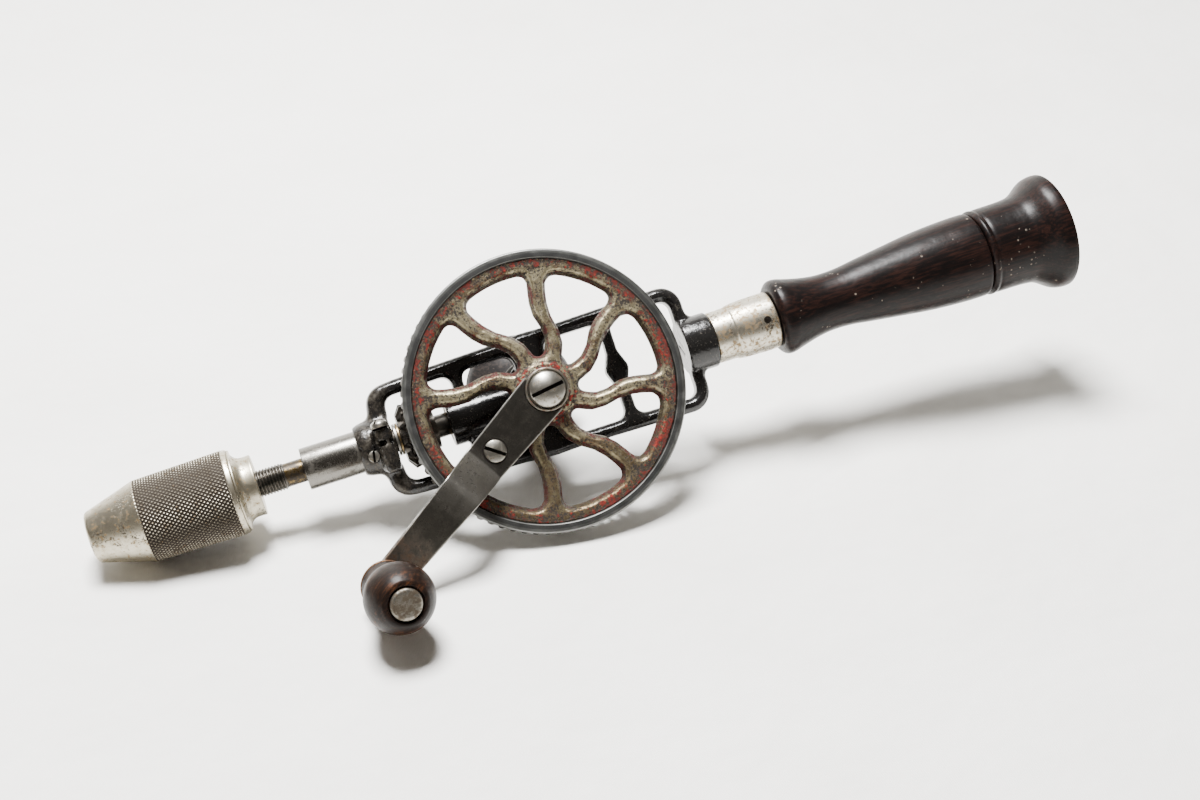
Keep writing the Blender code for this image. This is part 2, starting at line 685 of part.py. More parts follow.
def build_hub_screw(parent, mat):
    """Large domed screw in the axle's end, sunk in the wheel's collar."""
    profile = screw_profile(HUB_SCREW_SHANK_RADIUS, HUB_SCREW_SHANK_LENGTH,
                            HUB_SCREW_HEAD_RADIUS, HUB_SCREW_HEAD_RIM, HUB_SCREW_DOME)
    seat = -axle_end_y + SEAT_GAP
    screw = turned("hub_screw", [(seat + along, radius) for along, radius in profile],
                   parent, mat, along="-Y")
    top = -(seat + HUB_SCREW_HEAD_RIM + HUB_SCREW_DOME)
    slot = slot_cutter("hub_screw_slot_form", parent, (0, 0, 0), top, HUB_SCREW_SLOT_WIDTH,
                       HUB_SCREW_SLOT_DEPTH, HUB_SCREW_HEAD_RADIUS + CUT_OVERRUN,
                       HUB_SCREW_SLOT_ANGLE)
    carve(screw, slot)
    return screw


def build_axle(parent, mat):
    """Fixed stud in the centre boss that the wheel turns on, tapped at its end."""
    tail = AXLE_THREAD_DEPTH - CENTRE_BOSS_RADIUS
    return turned("wheel_axle", (
        (-tail, 0), (-tail, AXLE_RADIUS), (-axle_end_y, AXLE_RADIUS),
        (-axle_end_y, AXLE_TAP_RADIUS), (-axle_end_y - AXLE_TAP_DEPTH, AXLE_TAP_RADIUS),
        (-axle_end_y - AXLE_TAP_DEPTH, 0)), parent, mat, along="-Y")


def clipped(share):
    """A share kept between none and all."""
    return min(1, max(0, share))


def eased(share):
    """A share that starts and ends gently."""
    return 0.5 - 0.5 * cos(pi * share)


def arm_stations():
    """Stations along the crank: distance from the hub, half width, outward step, twist."""
    slope = (CRANK_TIP_WIDTH - CRANK_BUTT_WIDTH) / 2 / (CRANK_RADIUS - CRANK_BUTT)

    def half_at(distance):
        return CRANK_BUTT_WIDTH / 2 + slope * (distance - CRANK_BUTT)

    distances = [CRANK_BUTT]
    distances += [CRANK_STEP_START + CRANK_BEND_LENGTH * (share - 0.5) + share * CRANK_STEP_LENGTH
                  for share in np.linspace(0, 1, 9)]
    distances += [crank_twist_start + share * CRANK_TWIST_LENGTH
                  for share in np.linspace(0, 1, 7)]
    stations = []
    for distance in sorted(distances):
        inner = clipped((distance - CRANK_STEP_START) / CRANK_STEP_LENGTH)
        far = clipped((distance - crank_twist_start) / CRANK_TWIST_LENGTH)
        stations.append((distance, half_at(distance),
                         CRANK_STEP_RISE * (eased(inner) + inner) / 2, CRANK_TWIST * eased(far)))
    for i in range(CRANK_END_STEPS):
        angle = pi / 2 * i / CRANK_END_STEPS
        stations.append((CRANK_RADIUS + CRANK_TIP_WIDTH / 2 * sin(angle),
                         CRANK_TIP_WIDTH / 2 * cos(angle), CRANK_STEP_RISE, CRANK_TWIST))
    return stations


def build_crank_arm(parent, knob_axis, mat):
    """Tapered bar, stepped past the rim, turned a little at its end, notched at the collar."""
    middle = (arm_back_y + arm_front_y) / 2
    bm = bmesh.new()
    rings = []
    for distance, half, step, twist in arm_stations():
        ring = []
        for depth, across in ((1, 1), (1, -1), (-1, -1), (-1, 1)):
            y, z = depth * CRANK_THICKNESS / 2, across * half
            ring.append(bm.verts.new((distance, middle - step + y * cos(twist) + z * sin(twist),
                                      z * cos(twist) - y * sin(twist))))
        rings.append(ring)
    for a, b in zip(rings, rings[1:]):
        for i in range(4):
            j = (i + 1) % 4
            bm.faces.new((a[i], a[j], b[j], b[i]))
    bm.faces.new(rings[0])
    bm.faces.new(rings[-1])
    bmesh.ops.triangulate(bm, faces=bm.faces)
    arm = place(bm, "crank_arm", parent, mat, rotation=(0, -CRANK_ANGLE, 0))
    notch = rod("arm_notch_form", -hub_pad_y - CUT_OVERRUN, HUB_COLLAR_RISE + 2 * CUT_OVERRUN,
                HUB_COLLAR_RADIUS + SEAT_GAP, parent, along="-Y")
    seat = -arm_front_y - CRANK_SCREW_SEAT_DEPTH
    screw_hole = turned("arm_screw_hole_form", (
        (-arm_back_y - CUT_OVERRUN, 0),
        (-arm_back_y - CUT_OVERRUN, CRANK_SCREW_SHANK_RADIUS + SEAT_GAP),
        (seat, CRANK_SCREW_SHANK_RADIUS + SEAT_GAP), (seat, CRANK_SCREW_HEAD_RADIUS + SEAT_GAP),
        (-arm_front_y + CUT_OVERRUN, CRANK_SCREW_HEAD_RADIUS + SEAT_GAP),
        (-arm_front_y + CUT_OVERRUN, 0)), parent, along="-Y", at=crank_screw_at(),
        steps=SMALL_STEPS)
    pin_hole = rod("arm_pin_hole_form", -CRANK_THICKNESS, 2 * CRANK_THICKNESS,
                   PIN_RADIUS + SEAT_GAP, knob_axis, along="-Y", steps=SMALL_STEPS)
    carve(arm, notch, screw_hole, pin_hole)
    return arm


def crank_screw_at():
    """Axis of the screw between the crank arm and the wheel."""
    return (CRANK_SCREW_RADIUS_OUT * cos(CRANK_ANGLE), 0,
            CRANK_SCREW_RADIUS_OUT * sin(CRANK_ANGLE))


def build_crank_screw(parent, mat):
    """Slotted screw that ties the arm to the spoke under it."""
    profile = screw_profile(CRANK_SCREW_SHANK_RADIUS,
                            CRANK_THICKNESS - CRANK_SCREW_SEAT_DEPTH + CRANK_SCREW_REACH,
                            CRANK_SCREW_HEAD_RADIUS, CRANK_SCREW_HEAD_RIM, CRANK_SCREW_DOME)
    seat = -arm_front_y - CRANK_SCREW_SEAT_DEPTH + SEAT_GAP
    at = crank_screw_at()
    screw = turned("crank_screw", [(seat + along, radius) for along, radius in profile],
                   parent, mat, along="-Y", at=at, steps=SMALL_STEPS)
    top = -(seat + CRANK_SCREW_HEAD_RIM + CRANK_SCREW_DOME)
    slot = slot_cutter("crank_screw_slot_form", parent, at, top, CRANK_SCREW_SLOT_WIDTH,
                       CRANK_SCREW_SLOT_DEPTH, CRANK_SCREW_HEAD_RADIUS + CUT_OVERRUN,
                       CRANK_SCREW_SLOT_ANGLE)
    carve(screw, slot)
    return screw


def build_crank_pin(parent, mat):
    """Riveted pin that carries the knob, its flat head sunk in the knob's face."""
    head = knob_out + KNOB_LENGTH + PIN_HEAD_PROUD - PIN_HEAD_LENGTH
    edge = PIN_HEAD_LENGTH / 4
    return turned("crank_pin", (
        (-CRANK_THICKNESS / 2, 0), (-CRANK_THICKNESS / 2, PIN_RADIUS), (head, PIN_RADIUS),
        (head, PIN_HEAD_RADIUS), (head + PIN_HEAD_LENGTH - edge, PIN_HEAD_RADIUS),
        (head + PIN_HEAD_LENGTH, PIN_HEAD_RADIUS - edge), (head + PIN_HEAD_LENGTH, 0)),
        parent, mat, along="-Y", steps=MID_STEPS)


def build_knob_washer(parent, mat):
    """Washer between the crank arm and the knob."""
    end = washer_out + WASHER_THICKNESS
    return turned("knob_washer", (
        (washer_out, PIN_RADIUS + SEAT_GAP), (washer_out, WASHER_RADIUS), (end, WASHER_RADIUS),
        (end, PIN_RADIUS + SEAT_GAP)), parent, mat, along="-Y", steps=MID_STEPS)


def build_crank_knob(parent, mat):
    """Turned knob: a narrow neck that swells to a round belly, hollowed for the pin's head."""
    belly = knob_out + KNOB_BELLY_SHARE * KNOB_LENGTH
    face = knob_out + KNOB_LENGTH
    neck = knob_out + KNOB_NECK_SHARE * KNOB_LENGTH
    bore = PIN_RADIUS + SHAFT_GAP
    seat = face + PIN_HEAD_PROUD - PIN_HEAD_LENGTH - SEAT_GAP
    recess = PIN_HEAD_RADIUS + SHAFT_GAP
    profile = [(knob_out, bore), (knob_out, KNOB_BASE_RADIUS), (neck, KNOB_NECK_RADIUS)]
    for i in range(1, 5):
        turn = pi / 2 * i / 4
        profile.append((neck + (belly - neck) * sin(turn),
                        KNOB_NECK_RADIUS + (KNOB_RADIUS - KNOB_NECK_RADIUS) * (1 - cos(turn))))
    for i in range(1, 6):
        turn = pi / 2 * i / 5
        profile.append((belly + (face - belly) * sin(turn),
                        KNOB_FACE_RADIUS + (KNOB_RADIUS - KNOB_FACE_RADIUS) * cos(turn)))
    profile += [(face, recess), (seat, recess), (seat, bore)]
    return turned("crank_knob", profile, parent, mat, along="-Y", steps=MID_STEPS)


def build_spindle(parent, mat):
    """Main shaft: threaded nose, journal, pinion seat and rear journal."""
    nose_x = chuck_back_x - THREAD_GRIP
    root = THREAD_RADIUS - THREAD_DEPTH
    profile = [(nose_x, 0), (nose_x, root), (nose_x + THREAD_DEPTH, THREAD_RADIUS),
               (chuck_back_x - THREAD_PITCH, THREAD_RADIUS)]
    for k in range(int(THREAD_VISIBLE / THREAD_PITCH)):
        crest = chuck_back_x + k * THREAD_PITCH
        profile += [(crest - THREAD_PITCH / 2, root), (crest, THREAD_RADIUS)]
    collar_back = CENTRE_BOSS_FRONT_X - SEAT_GAP
    collar_front = collar_back - SPINDLE_COLLAR_LENGTH
    tail = CENTRE_BOSS_FRONT_X + JOURNAL_LENGTH
    profile += [(thread_back_x - THREAD_DEPTH, THREAD_RADIUS), (thread_back_x, SHANK_RADIUS),
                (collar_front, SHANK_RADIUS),
                (collar_front, SPINDLE_COLLAR_RADIUS), (collar_back, SPINDLE_COLLAR_RADIUS),
                (collar_back, SHANK_RADIUS), (tail, SHANK_RADIUS), (tail, 0)]
    spindle = turned("spindle", profile, parent, mat, steps=MID_STEPS)
    hole = rod("spindle_pin_hole_form", -2 * PINION_HUB_RADIUS, 4 * PINION_HUB_RADIUS,
               PINION_PIN_RADIUS + SEAT_GAP, parent, along="+Z", at=(pinion_pin_x(), 0, 0),
               steps=TINY_STEPS)
    carve(spindle, hole)
    return spindle


def pinion_pin_x():
    """Place of the cross pin, halfway along the pinion's plain hub."""
    return pinion_front_x - PINION_HUB_LENGTH / 2


def build_pinion(parent, mat):
    """Bevel pinion with a plain back and a pinned hub."""
    cone = atan2(pinion_pitch_radius, wheel_pitch_radius)
    tip_out = ADDENDUM_SHARE * TOOTH_MODULE
    root_in = DEDENDUM_SHARE * TOOTH_MODULE
    tip = (-wheel_pitch_radius + tip_out * sin(cone), pinion_pitch_radius + tip_out * cos(cone))
    root = (-wheel_pitch_radius - root_in * sin(cone), pinion_pitch_radius - root_in * cos(cone))
    tip_half, root_half = tooth_half_angles(pinion_pitch_radius, PINION_TEETH)
    small = tooth_small_share
    bm = bmesh.new()
    rings = []
    bore = SHANK_RADIUS + SEAT_GAP
    plain_before = ((pinion_back_x, bore), (pinion_back_x, PINION_BACK_RADIUS))
    plain_after = ((pinion_front_x - PINION_HUB_LENGTH, PINION_HUB_RADIUS),
                   (pinion_front_x, PINION_HUB_RADIUS), (pinion_front_x, bore))
    pitch = 2 * pi / PINION_TEETH

    def ring(points):
        return [bm.verts.new((x, -radius * cos(angle), radius * sin(angle)))
                for x, radius, angle in points]

    def plain_ring(x, radius):
        return ring([(x, radius, k * pitch + turn) for k in range(PINION_TEETH)
                     for turn in (-root_half, -tip_half, tip_half, root_half)])

    def tooth_ring(share):
        points = []
        for k in range(PINION_TEETH):
            for spot, turn in ((root, -root_half), (tip, -tip_half), (tip, tip_half),
                               (root, root_half)):
                points.append((spot[0] * share, spot[1] * share, k * pitch + turn))
        return ring(points)

    rings += [plain_ring(*point) for point in plain_before]
    rings += [tooth_ring(1), tooth_ring(small)]
    rings += [plain_ring(*point) for point in plain_after]
    rings.append(rings[0])
    for a, b in zip(rings, rings[1:]):
        count = len(a)
        for i in range(count):
            j = (i + 1) % count
            bm.faces.new((a[i], a[j], b[j], b[i]))
    bmesh.ops.triangulate(bm, faces=bm.faces)
    pinion = place(bm, "drive_pinion", parent, mat)
    hole = rod("pinion_pin_hole_form", -2 * PINION_HUB_RADIUS, 4 * PINION_HUB_RADIUS,
               PINION_PIN_RADIUS + SEAT_GAP, parent, along="+Z", at=(pinion_pin_x(), 0, 0),
               steps=TINY_STEPS)
    carve(pinion, hole)
    return pinion


def build_pinion_pin(parent, mat):
    """Cross pin through the pinion's hub and the spindle."""
    return rod("pinion_pin", -PINION_HUB_RADIUS, 2 * PINION_HUB_RADIUS, PINION_PIN_RADIUS,
               parent, mat, along="+Z", at=(pinion_pin_x(), 0, 0), steps=TINY_STEPS)


def build_thrust_washers(parent, steel, brass):
    """A steel and a brass washer between the pinion and the front boss."""
    step = THRUST_WASHER_THICKNESS + SEAT_GAP
    for index, (name, mat) in enumerate((("thrust_washer_steel", steel),
                                         ("thrust_washer_brass", brass))):
        start = washer_front_x + index * step
        turned(name, ((start, SHANK_RADIUS + SEAT_GAP), (start, THRUST_WASHER_RADIUS),
                      (start + THRUST_WASHER_THICKNESS, THRUST_WASHER_RADIUS),
                      (start + THRUST_WASHER_THICKNESS, SHANK_RADIUS + SEAT_GAP)), parent, mat,
               steps=MID_STEPS)


def build_bearing_sleeve(parent, mat):
    """Polished sleeve clamped in the front boss, the spindle's front bearing."""
    back = front_boss_back_x - SEAT_GAP
    bore = SHANK_RADIUS + RUN_GAP
    edge = SEAT_GAP
    return turned("bearing_sleeve", (
        (sleeve_front_x, bore), (sleeve_front_x, SLEEVE_RADIUS - edge),
        (sleeve_front_x + edge, SLEEVE_RADIUS), (back, SLEEVE_RADIUS), (back, bore)), parent, mat)


def build_rear_bush(parent, mat):
    """Bronze bush in the centre boss, the spindle's rear bearing."""
    back = CENTRE_BOSS_FRONT_X + BUSH_LENGTH
    front = CENTRE_BOSS_FRONT_X + SEAT_GAP
    bore = SHANK_RADIUS + RUN_GAP
    return turned("rear_bush", ((front, bore), (front, BUSH_RADIUS), (back, BUSH_RADIUS),
                                (back, bore)), parent, mat, steps=MID_STEPS)


def frame_half(x):
    """Outer half width of the frame's loop at a place along it."""
    front = front_boss_back_x
    share = clipped((x - front) / (REAR_WALL_X - front))
    bulge = FRAME_BULGE * max(0, 1 - (x / FRAME_BULGE_LENGTH) ** 2) ** 2
    return FRAME_FRONT_HALF + (FRAME_REAR_HALF - FRAME_FRONT_HALF) * share ** 0.8 + bulge


def loop_roundings():
    """Radii of the loop's corners and its neck fillets, which share the height beside a boss."""
    room = min(FRAME_FRONT_HALF - FRONT_BOSS_RADIUS, FRAME_REAR_HALF - REAR_BOSS_RADIUS)
    share = min(1, room / (FRAME_CORNER + FRAME_NECK_FILLET))
    return share * FRAME_CORNER, share * FRAME_NECK_FILLET


def mirrored(points):
    """A line of points followed by its mirror image across the spindle."""
    return points + [(x, -z) for x, z in reversed(points)]


def frame_outline():
    """Outer edge of the flat casting: necks at both bosses and a rounded loop."""
    front = front_boss_back_x - FRONT_WALL + 2 * SEAT_GAP
    back = REAR_WALL_X + REAR_WALL
    corner, fillet = loop_roundings()
    neck_f, neck_r = FRONT_BOSS_RADIUS - ROOT_BURY, REAR_BOSS_RADIUS - ROOT_BURY
    top_f = frame_half(front + corner)
    top_r = frame_half(back - corner)
    upper = [(front_boss_front_x + FRONT_RING_LENGTH + ROOT_BURY, neck_f)]
    upper += arc((front - fillet, neck_f + fillet), fillet, -pi / 2, 0, 4)
    upper += arc((front + corner, top_f - corner), corner, pi, pi / 2, 6)
    for share in np.linspace(0.08, 0.92, 9):
        x = front + corner + share * (back - front - 2 * corner)
        upper.append((x, frame_half(x)))
    upper += arc((back - corner, top_r - corner), corner, pi / 2, 0, 6)
    upper += arc((back + fillet, neck_r + fillet), fillet, pi, 1.5 * pi, 4)
    upper.append((rear_boss_back_x - ROOT_BURY, neck_r))
    return mirrored(upper)


def rounded_window(corners, radius):
    """A window outline whose named corners are rounded, given once round."""
    points = []
    count = len(corners)
    for i in range(count):
        before, here, after = (Vector(corners[(i + k) % count]) for k in (-1, 0, 1))
        inward, outward = (before - here).normalized(), (after - here).normalized()
        angle = inward.angle(outward)
        reach = min(radius / tan(angle / 2), (before - here).length * 0.45,
                    (after - here).length * 0.45)
        bow = reach * tan(angle / 2)
        middle = here + (inward + outward).normalized() * (bow / sin(angle / 2))
        start, end = here + inward * reach - middle, here + outward * reach - middle
        for share in np.linspace(0, 1, 5):
            arm = start.slerp(end, share)
            points.append(tuple(middle + arm.normalized() * bow))
    return points


def frame_windows():
    """Openings in the loop: at the pinion, beside the centre boss and at the handle end."""
    inner = RAIL_WIDTH
    front = front_boss_back_x + SEAT_GAP
    web_f = FRONT_WEB_X - FRONT_WEB_WIDTH / 2
    web_b = FRONT_WEB_X + FRONT_WEB_WIDTH / 2
    boss = CENTRE_BOSS_RADIUS - CUT_OVERRUN
    strut_f, strut_b = STRUT_X - STRUT_WIDTH / 2, STRUT_X + STRUT_WIDTH / 2
    bulge_f, bulge_b = STRUT_X - STRUT_DIAMOND_WIDTH / 2, STRUT_X + STRUT_DIAMOND_WIDTH / 2
    reach = STRUT_DIAMOND_LENGTH / 2
    rear = REAR_WALL_X
    pinion = [(front, frame_half(front) - inner), (web_f, frame_half(web_f) - inner),
              (web_f, -frame_half(web_f) + inner), (front, -frame_half(front) + inner)]
    side = [(web_b, frame_half(web_b) - inner), (-AXLE_WEB_HALF, frame_half(web_b) - inner),
            (-AXLE_WEB_HALF, boss), (web_b, boss)]
    other = [(x, -z) for x, z in reversed(side)]
    edge = frame_half(STRUT_X) - inner
    middle = [(AXLE_WEB_HALF, edge), (strut_f, edge), (strut_f, reach), (bulge_f, 0),
              (strut_f, -reach), (strut_f, -edge), (AXLE_WEB_HALF, -edge)]
    last = [(strut_b, edge), (rear, frame_half(rear) - inner), (rear, -frame_half(rear) + inner),
            (strut_b, -edge), (strut_b, -reach), (bulge_b, 0), (strut_b, reach)]
    return [rounded_window(corners, WINDOW_CORNER)
            for corners in (pinion, side, other, middle, last)]


def build_frame(parent, mat):
    """Cast frame: looped rails with webs, three bosses, a split clamp and a spigot."""
    half = FRAME_DEPTH / 2
    frame = plate("frame_casting", frame_outline(), frame_windows(), -half, half,
                  FRAME_ROUNDING, parent, mat)
    ring_back = front_boss_front_x + FRONT_RING_LENGTH
    front_boss = turned("front_boss_form", (
        (front_boss_front_x, 0), (front_boss_front_x, FRONT_RING_RADIUS),
        (ring_back - FRONT_RING_LENGTH / 3, FRONT_RING_RADIUS),
        (ring_back, FRONT_BOSS_RADIUS), (front_boss_back_x, FRONT_BOSS_RADIUS),
        (front_boss_back_x, 0)), parent)
    centre_boss = rod("centre_boss_form", CENTRE_BOSS_FRONT_X,
                      CENTRE_BOSS_BACK_X - CENTRE_BOSS_FRONT_X, CENTRE_BOSS_RADIUS, parent,
                      steps=MID_STEPS)
    axle_pad = rod("axle_pad_form", 0, CENTRE_BOSS_RADIUS + HUB_BACK_DEPTH, AXLE_PAD_RADIUS,
                   parent, along="-Y", steps=MID_STEPS)
    knob_pad = rod("knob_pad_form", 0, KNOB_PAD_REACH, KNOB_PAD_RADIUS, parent, along="+Y",
                   at=(SIDE_KNOB_X, 0, SIDE_KNOB_Z), steps=MID_STEPS)
    rear_boss = turned("rear_boss_form", (
        (rear_boss_front_x, 0), (rear_boss_front_x, REAR_BOSS_RADIUS),
        (rear_boss_back_x, REAR_BOSS_RADIUS), (rear_boss_back_x, spigot_radius()),
        (rear_boss_back_x + FRAME_SPIGOT_LENGTH, spigot_radius()),
        (rear_boss_back_x + FRAME_SPIGOT_LENGTH, 0)), parent)
    lug = block("clamp_lug_form", (lug_front_x(), -LUG_REACH, -LUG_BOTTOM),
                (lug_front_x() + LUG_LENGTH, -FRONT_BOSS_RADIUS / 2, LUG_TOP), parent)
    fuse(frame, front_boss, centre_boss, axle_pad, knob_pad, rear_boss, lug)
    sleeve_bore = rod("sleeve_bore_form", front_boss_front_x - CUT_OVERRUN,
                      FRONT_BOSS_LENGTH + 2 * CUT_OVERRUN, SLEEVE_RADIUS + SEAT_GAP, parent)
    bush_bore = rod("bush_bore_form", CENTRE_BOSS_FRONT_X - CUT_OVERRUN,
                    BUSH_LENGTH + CUT_OVERRUN + SEAT_GAP, BUSH_RADIUS + SEAT_GAP, parent,
                    steps=MID_STEPS)
    tail_bore = rod("tail_bore_form", CENTRE_BOSS_FRONT_X, JOURNAL_LENGTH + SEAT_GAP,
                    SHANK_RADIUS + SEAT_GAP, parent, steps=MID_STEPS)
    axle_hole = rod("axle_hole_form", CENTRE_BOSS_RADIUS - AXLE_THREAD_DEPTH - SEAT_GAP,
                    AXLE_THREAD_DEPTH + 2 * CUT_OVERRUN, AXLE_RADIUS + SEAT_GAP, parent,
                    along="-Y")
    bolt_hole = rod("side_bolt_hole_form", KNOB_PAD_REACH - SIDE_BOLT_IN_FRAME - SEAT_GAP,
                    SIDE_BOLT_IN_FRAME + 2 * CUT_OVERRUN, SIDE_BOLT_RADIUS + SEAT_GAP, parent,
                    along="+Y", at=(SIDE_KNOB_X, 0, SIDE_KNOB_Z), steps=SMALL_STEPS)
    tang_hole = rod("tang_hole_form", rear_boss_back_x - TANG_IN_FRAME - SEAT_GAP,
                    TANG_IN_FRAME + FRAME_SPIGOT_LENGTH + 2 * CUT_OVERRUN,
                    TANG_RADIUS + SEAT_GAP, parent, steps=SMALL_STEPS)
    split = block("clamp_split_form", (front_boss_front_x - CUT_OVERRUN,
                                       -LUG_REACH - CUT_OVERRUN, -CLAMP_SPLIT / 2),
                  (front_boss_back_x + CUT_OVERRUN, -SLEEVE_RADIUS / 2, CLAMP_SPLIT / 2), parent)
    screw_hole = rod("clamp_hole_form", -CLAMP_SCREW_LENGTH - SEAT_GAP,
                     CLAMP_SCREW_LENGTH + CUT_OVERRUN + SEAT_GAP, CLAMP_SCREW_RADIUS + SEAT_GAP,
                     parent, along="+Z", at=clamp_screw_at(), steps=TINY_STEPS)
    head_seat = rod("clamp_seat_form", 0, 2 * CLAMP_HEAD_RADIUS, CLAMP_HEAD_RADIUS + SEAT_GAP,
                    parent, along="+Z", at=clamp_screw_at(), steps=SMALL_STEPS)
    lock_hole = rod("lock_hole_form", FRONT_BOSS_RADIUS - LOCK_SCREW_DEPTH - SEAT_GAP,
                    LOCK_SCREW_DEPTH + 2 * CUT_OVERRUN, LOCK_SCREW_RADIUS + SEAT_GAP, parent,
                    along="-Y", at=lock_screw_at(), steps=SMALL_STEPS)
    carve(frame, sleeve_bore, bush_bore, tail_bore, axle_hole, bolt_hole, tang_hole, split,
          screw_hole, head_seat, lock_hole)
    return frame


def spigot_radius():
    """Radius of the frame's spigot inside the ferrule."""
    return FERRULE_FRONT_RADIUS - FERRULE_WALL - SEAT_GAP


def lug_front_x():
    """Front end of the clamp lug, set back from the boss's rear face."""
    return front_boss_back_x - LUG_BACK_INSET - LUG_LENGTH


def clamp_screw_at():
    """Foot of the clamp screw's head on top of the lug."""
    reach = (SLEEVE_RADIUS + SEAT_GAP + LUG_REACH) / 2
    return (lug_front_x() + LUG_LENGTH / 2, -reach, LUG_TOP)


def lock_screw_at():
    """Axis of the small locking screw in the front boss."""
    return (front_boss_front_x + LOCK_SCREW_INSET, 0, -LOCK_SCREW_DROP)


def build_clamp_screw(parent, mat):
    """Domed slotted screw that draws the split boss together on the sleeve."""
    profile = screw_profile(CLAMP_SCREW_RADIUS, CLAMP_SCREW_LENGTH, CLAMP_HEAD_RADIUS,
                            CLAMP_HEAD_RIM, CLAMP_HEAD_DOME)
    screw = turned("clamp_screw", [(along + SEAT_GAP, radius) for along, radius in profile],
                   parent, mat, along="+Z", at=clamp_screw_at(), steps=SMALL_STEPS)
    x, y, z = clamp_screw_at()
    top = z + SEAT_GAP + CLAMP_HEAD_RIM + CLAMP_HEAD_DOME
    reach = CLAMP_HEAD_RADIUS + CUT_OVERRUN
    slot = block("clamp_slot_form", (x - reach, y - CLAMP_SLOT_WIDTH / 2, top - CLAMP_HEAD_DOME),
                 (x + reach, y + CLAMP_SLOT_WIDTH / 2, top + CUT_OVERRUN), parent)
    carve(screw, slot)
    return screw


def build_lock_screw(parent, mat):
    """Slotted grub screw beside the lug."""
    at = lock_screw_at()
    start = FRONT_BOSS_RADIUS - LOCK_SCREW_DEPTH
    end = FRONT_BOSS_RADIUS + LOCK_SCREW_PROUD
    screw = rod("lock_screw", start, end - start, LOCK_SCREW_RADIUS, parent, mat, along="-Y",
                at=at, steps=SMALL_STEPS)
    slot = slot_cutter("lock_slot_form", parent, at, -end, CLAMP_SLOT_WIDTH, CLAMP_SLOT_WIDTH,
                       LOCK_SCREW_RADIUS + CUT_OVERRUN, 0)
    carve(screw, slot)
    return screw


def sleeve_inner_cone():
    """Inside of the chuck sleeve: the mouth, the cone that closes the jaws and the skirt."""
    slope = (CONE_RADIUS - NOSE_RADIUS) / CONE_LENGTH
    cone_start = chuck_nose_x + NOSE_WALL / 2
    skirt = CONE_RADIUS - SLEEVE_WALL
    cone_end = cone_start + (skirt - NOSE_MOUTH_RADIUS) / slope
    return cone_start, cone_end, skirt, slope


def build_chuck_sleeve(parent, mat):
    """Knurled shell of the chuck with its smooth nose cone and rear lip."""
    cone_start, cone_end, skirt, _ = sleeve_inner_cone()
    lip_back = chuck_lip_x - SEAT_GAP
    return turned("chuck_sleeve", (
        (chuck_nose_x, NOSE_MOUTH_RADIUS), (chuck_nose_x, NOSE_RADIUS - NOSE_EDGE),
        (chuck_nose_x + NOSE_EDGE, NOSE_RADIUS), (chuck_cone_x, CONE_RADIUS),
        (chuck_knurl_back_x, KNURL_REAR_RADIUS), (chuck_knurl_back_x, LIP_RADIUS),
        (lip_back - LIP_LENGTH / 3, LIP_RADIUS), (lip_back, LIP_RADIUS - LIP_LENGTH / 3),
        (lip_back, skirt), (cone_end, skirt), (cone_start, NOSE_MOUTH_RADIUS)), parent, mat)


def build_chuck_body(parent, mat):
    """Core of the chuck: threaded on the spindle, with a coved flange behind the sleeve."""
    _, _, skirt, _ = sleeve_inner_cone()
    core = min(CHUCK_CORE_RADIUS, skirt - SEAT_GAP)
    front = jaw_back_x() + SEAT_GAP
    lip = LIP_RADIUS - SEAT_GAP
    cove = [(chuck_lip_x, core), (chuck_lip_x, lip - COVE_RADIUS / 2)]
    centre = (chuck_lip_x + COVE_RADIUS, lip)
    for i in range(COVE_STEPS + 1):
        angle = pi + pi / 2 * i / COVE_STEPS
        cove.append((centre[0] + COVE_RADIUS * cos(angle) * 0.9,
                     centre[1] + COVE_RADIUS * sin(angle)))
    cove = [point for point in cove[2:]]
    bore = THREAD_RADIUS + SHAFT_GAP
    bore_end = chuck_back_x - THREAD_GRIP - SEAT_GAP
    profile = [(front, 0), (front, core), (chuck_lip_x, core), (chuck_lip_x, lip)]
    profile += cove[1:]
    profile += [(chuck_back_x, CHUCK_FLANGE_RADIUS), (chuck_back_x, bore), (bore_end, bore),
                (bore_end, 0)]
    return turned("chuck_body", profile, parent, mat)


def jaw_back_x():
    """Rear end of the jaws, where the sleeve's cone is wide enough to clear them."""
    _, cone_end, _, _ = sleeve_inner_cone()
    return cone_end + JAW_OPEN_GAP


def build_jaw(index, parent, mat):
    """One jaw: a wedge whose outer face follows the sleeve's cone."""
    cone_start, cone_end, skirt, slope = sleeve_inner_cone()
    front = chuck_nose_x + JAW_NOSE_INSET + NOSE_WALL / 2
    back = jaw_back_x()
    bm = bmesh.new()
    wide = JAW_OPEN_RADIUS + JAW_HALF_WIDTH / tan(pi / 3)
    ends = []
    for x, outer in ((front, NOSE_MOUTH_RADIUS + slope * (front - cone_start)),
                     (cone_end, skirt), (back, skirt)):
        top = sqrt((outer - JAW_OPEN_GAP) ** 2 - JAW_HALF_WIDTH ** 2)
        tip = JAW_OPEN_RADIUS
        side = min(wide, top - SEAT_GAP)
        width = (side - tip) * tan(pi / 3)
        points = ((tip, 0), (side, width), (top, width), (top + SEAT_GAP / 2, 0), (top, -width),
                  (side, -width))
        ends.append([bm.verts.new((x, w, r)) for r, w in points])
    for a, b in zip(ends, ends[1:]):
        for i in range(6):
            j = (i + 1) % 6
            bm.faces.new((a[i], a[j], b[j], b[i]))
    bm.faces.new(ends[0])
    bm.faces.new(ends[-1])
    bmesh.ops.triangulate(bm, faces=bm.faces)
    turn = JAW_FIRST_ANGLE + 2 * pi * index / JAW_COUNT
    return place(bm, f"jaw_{index + 1}", parent, mat, rotation=(turn, 0, 0))


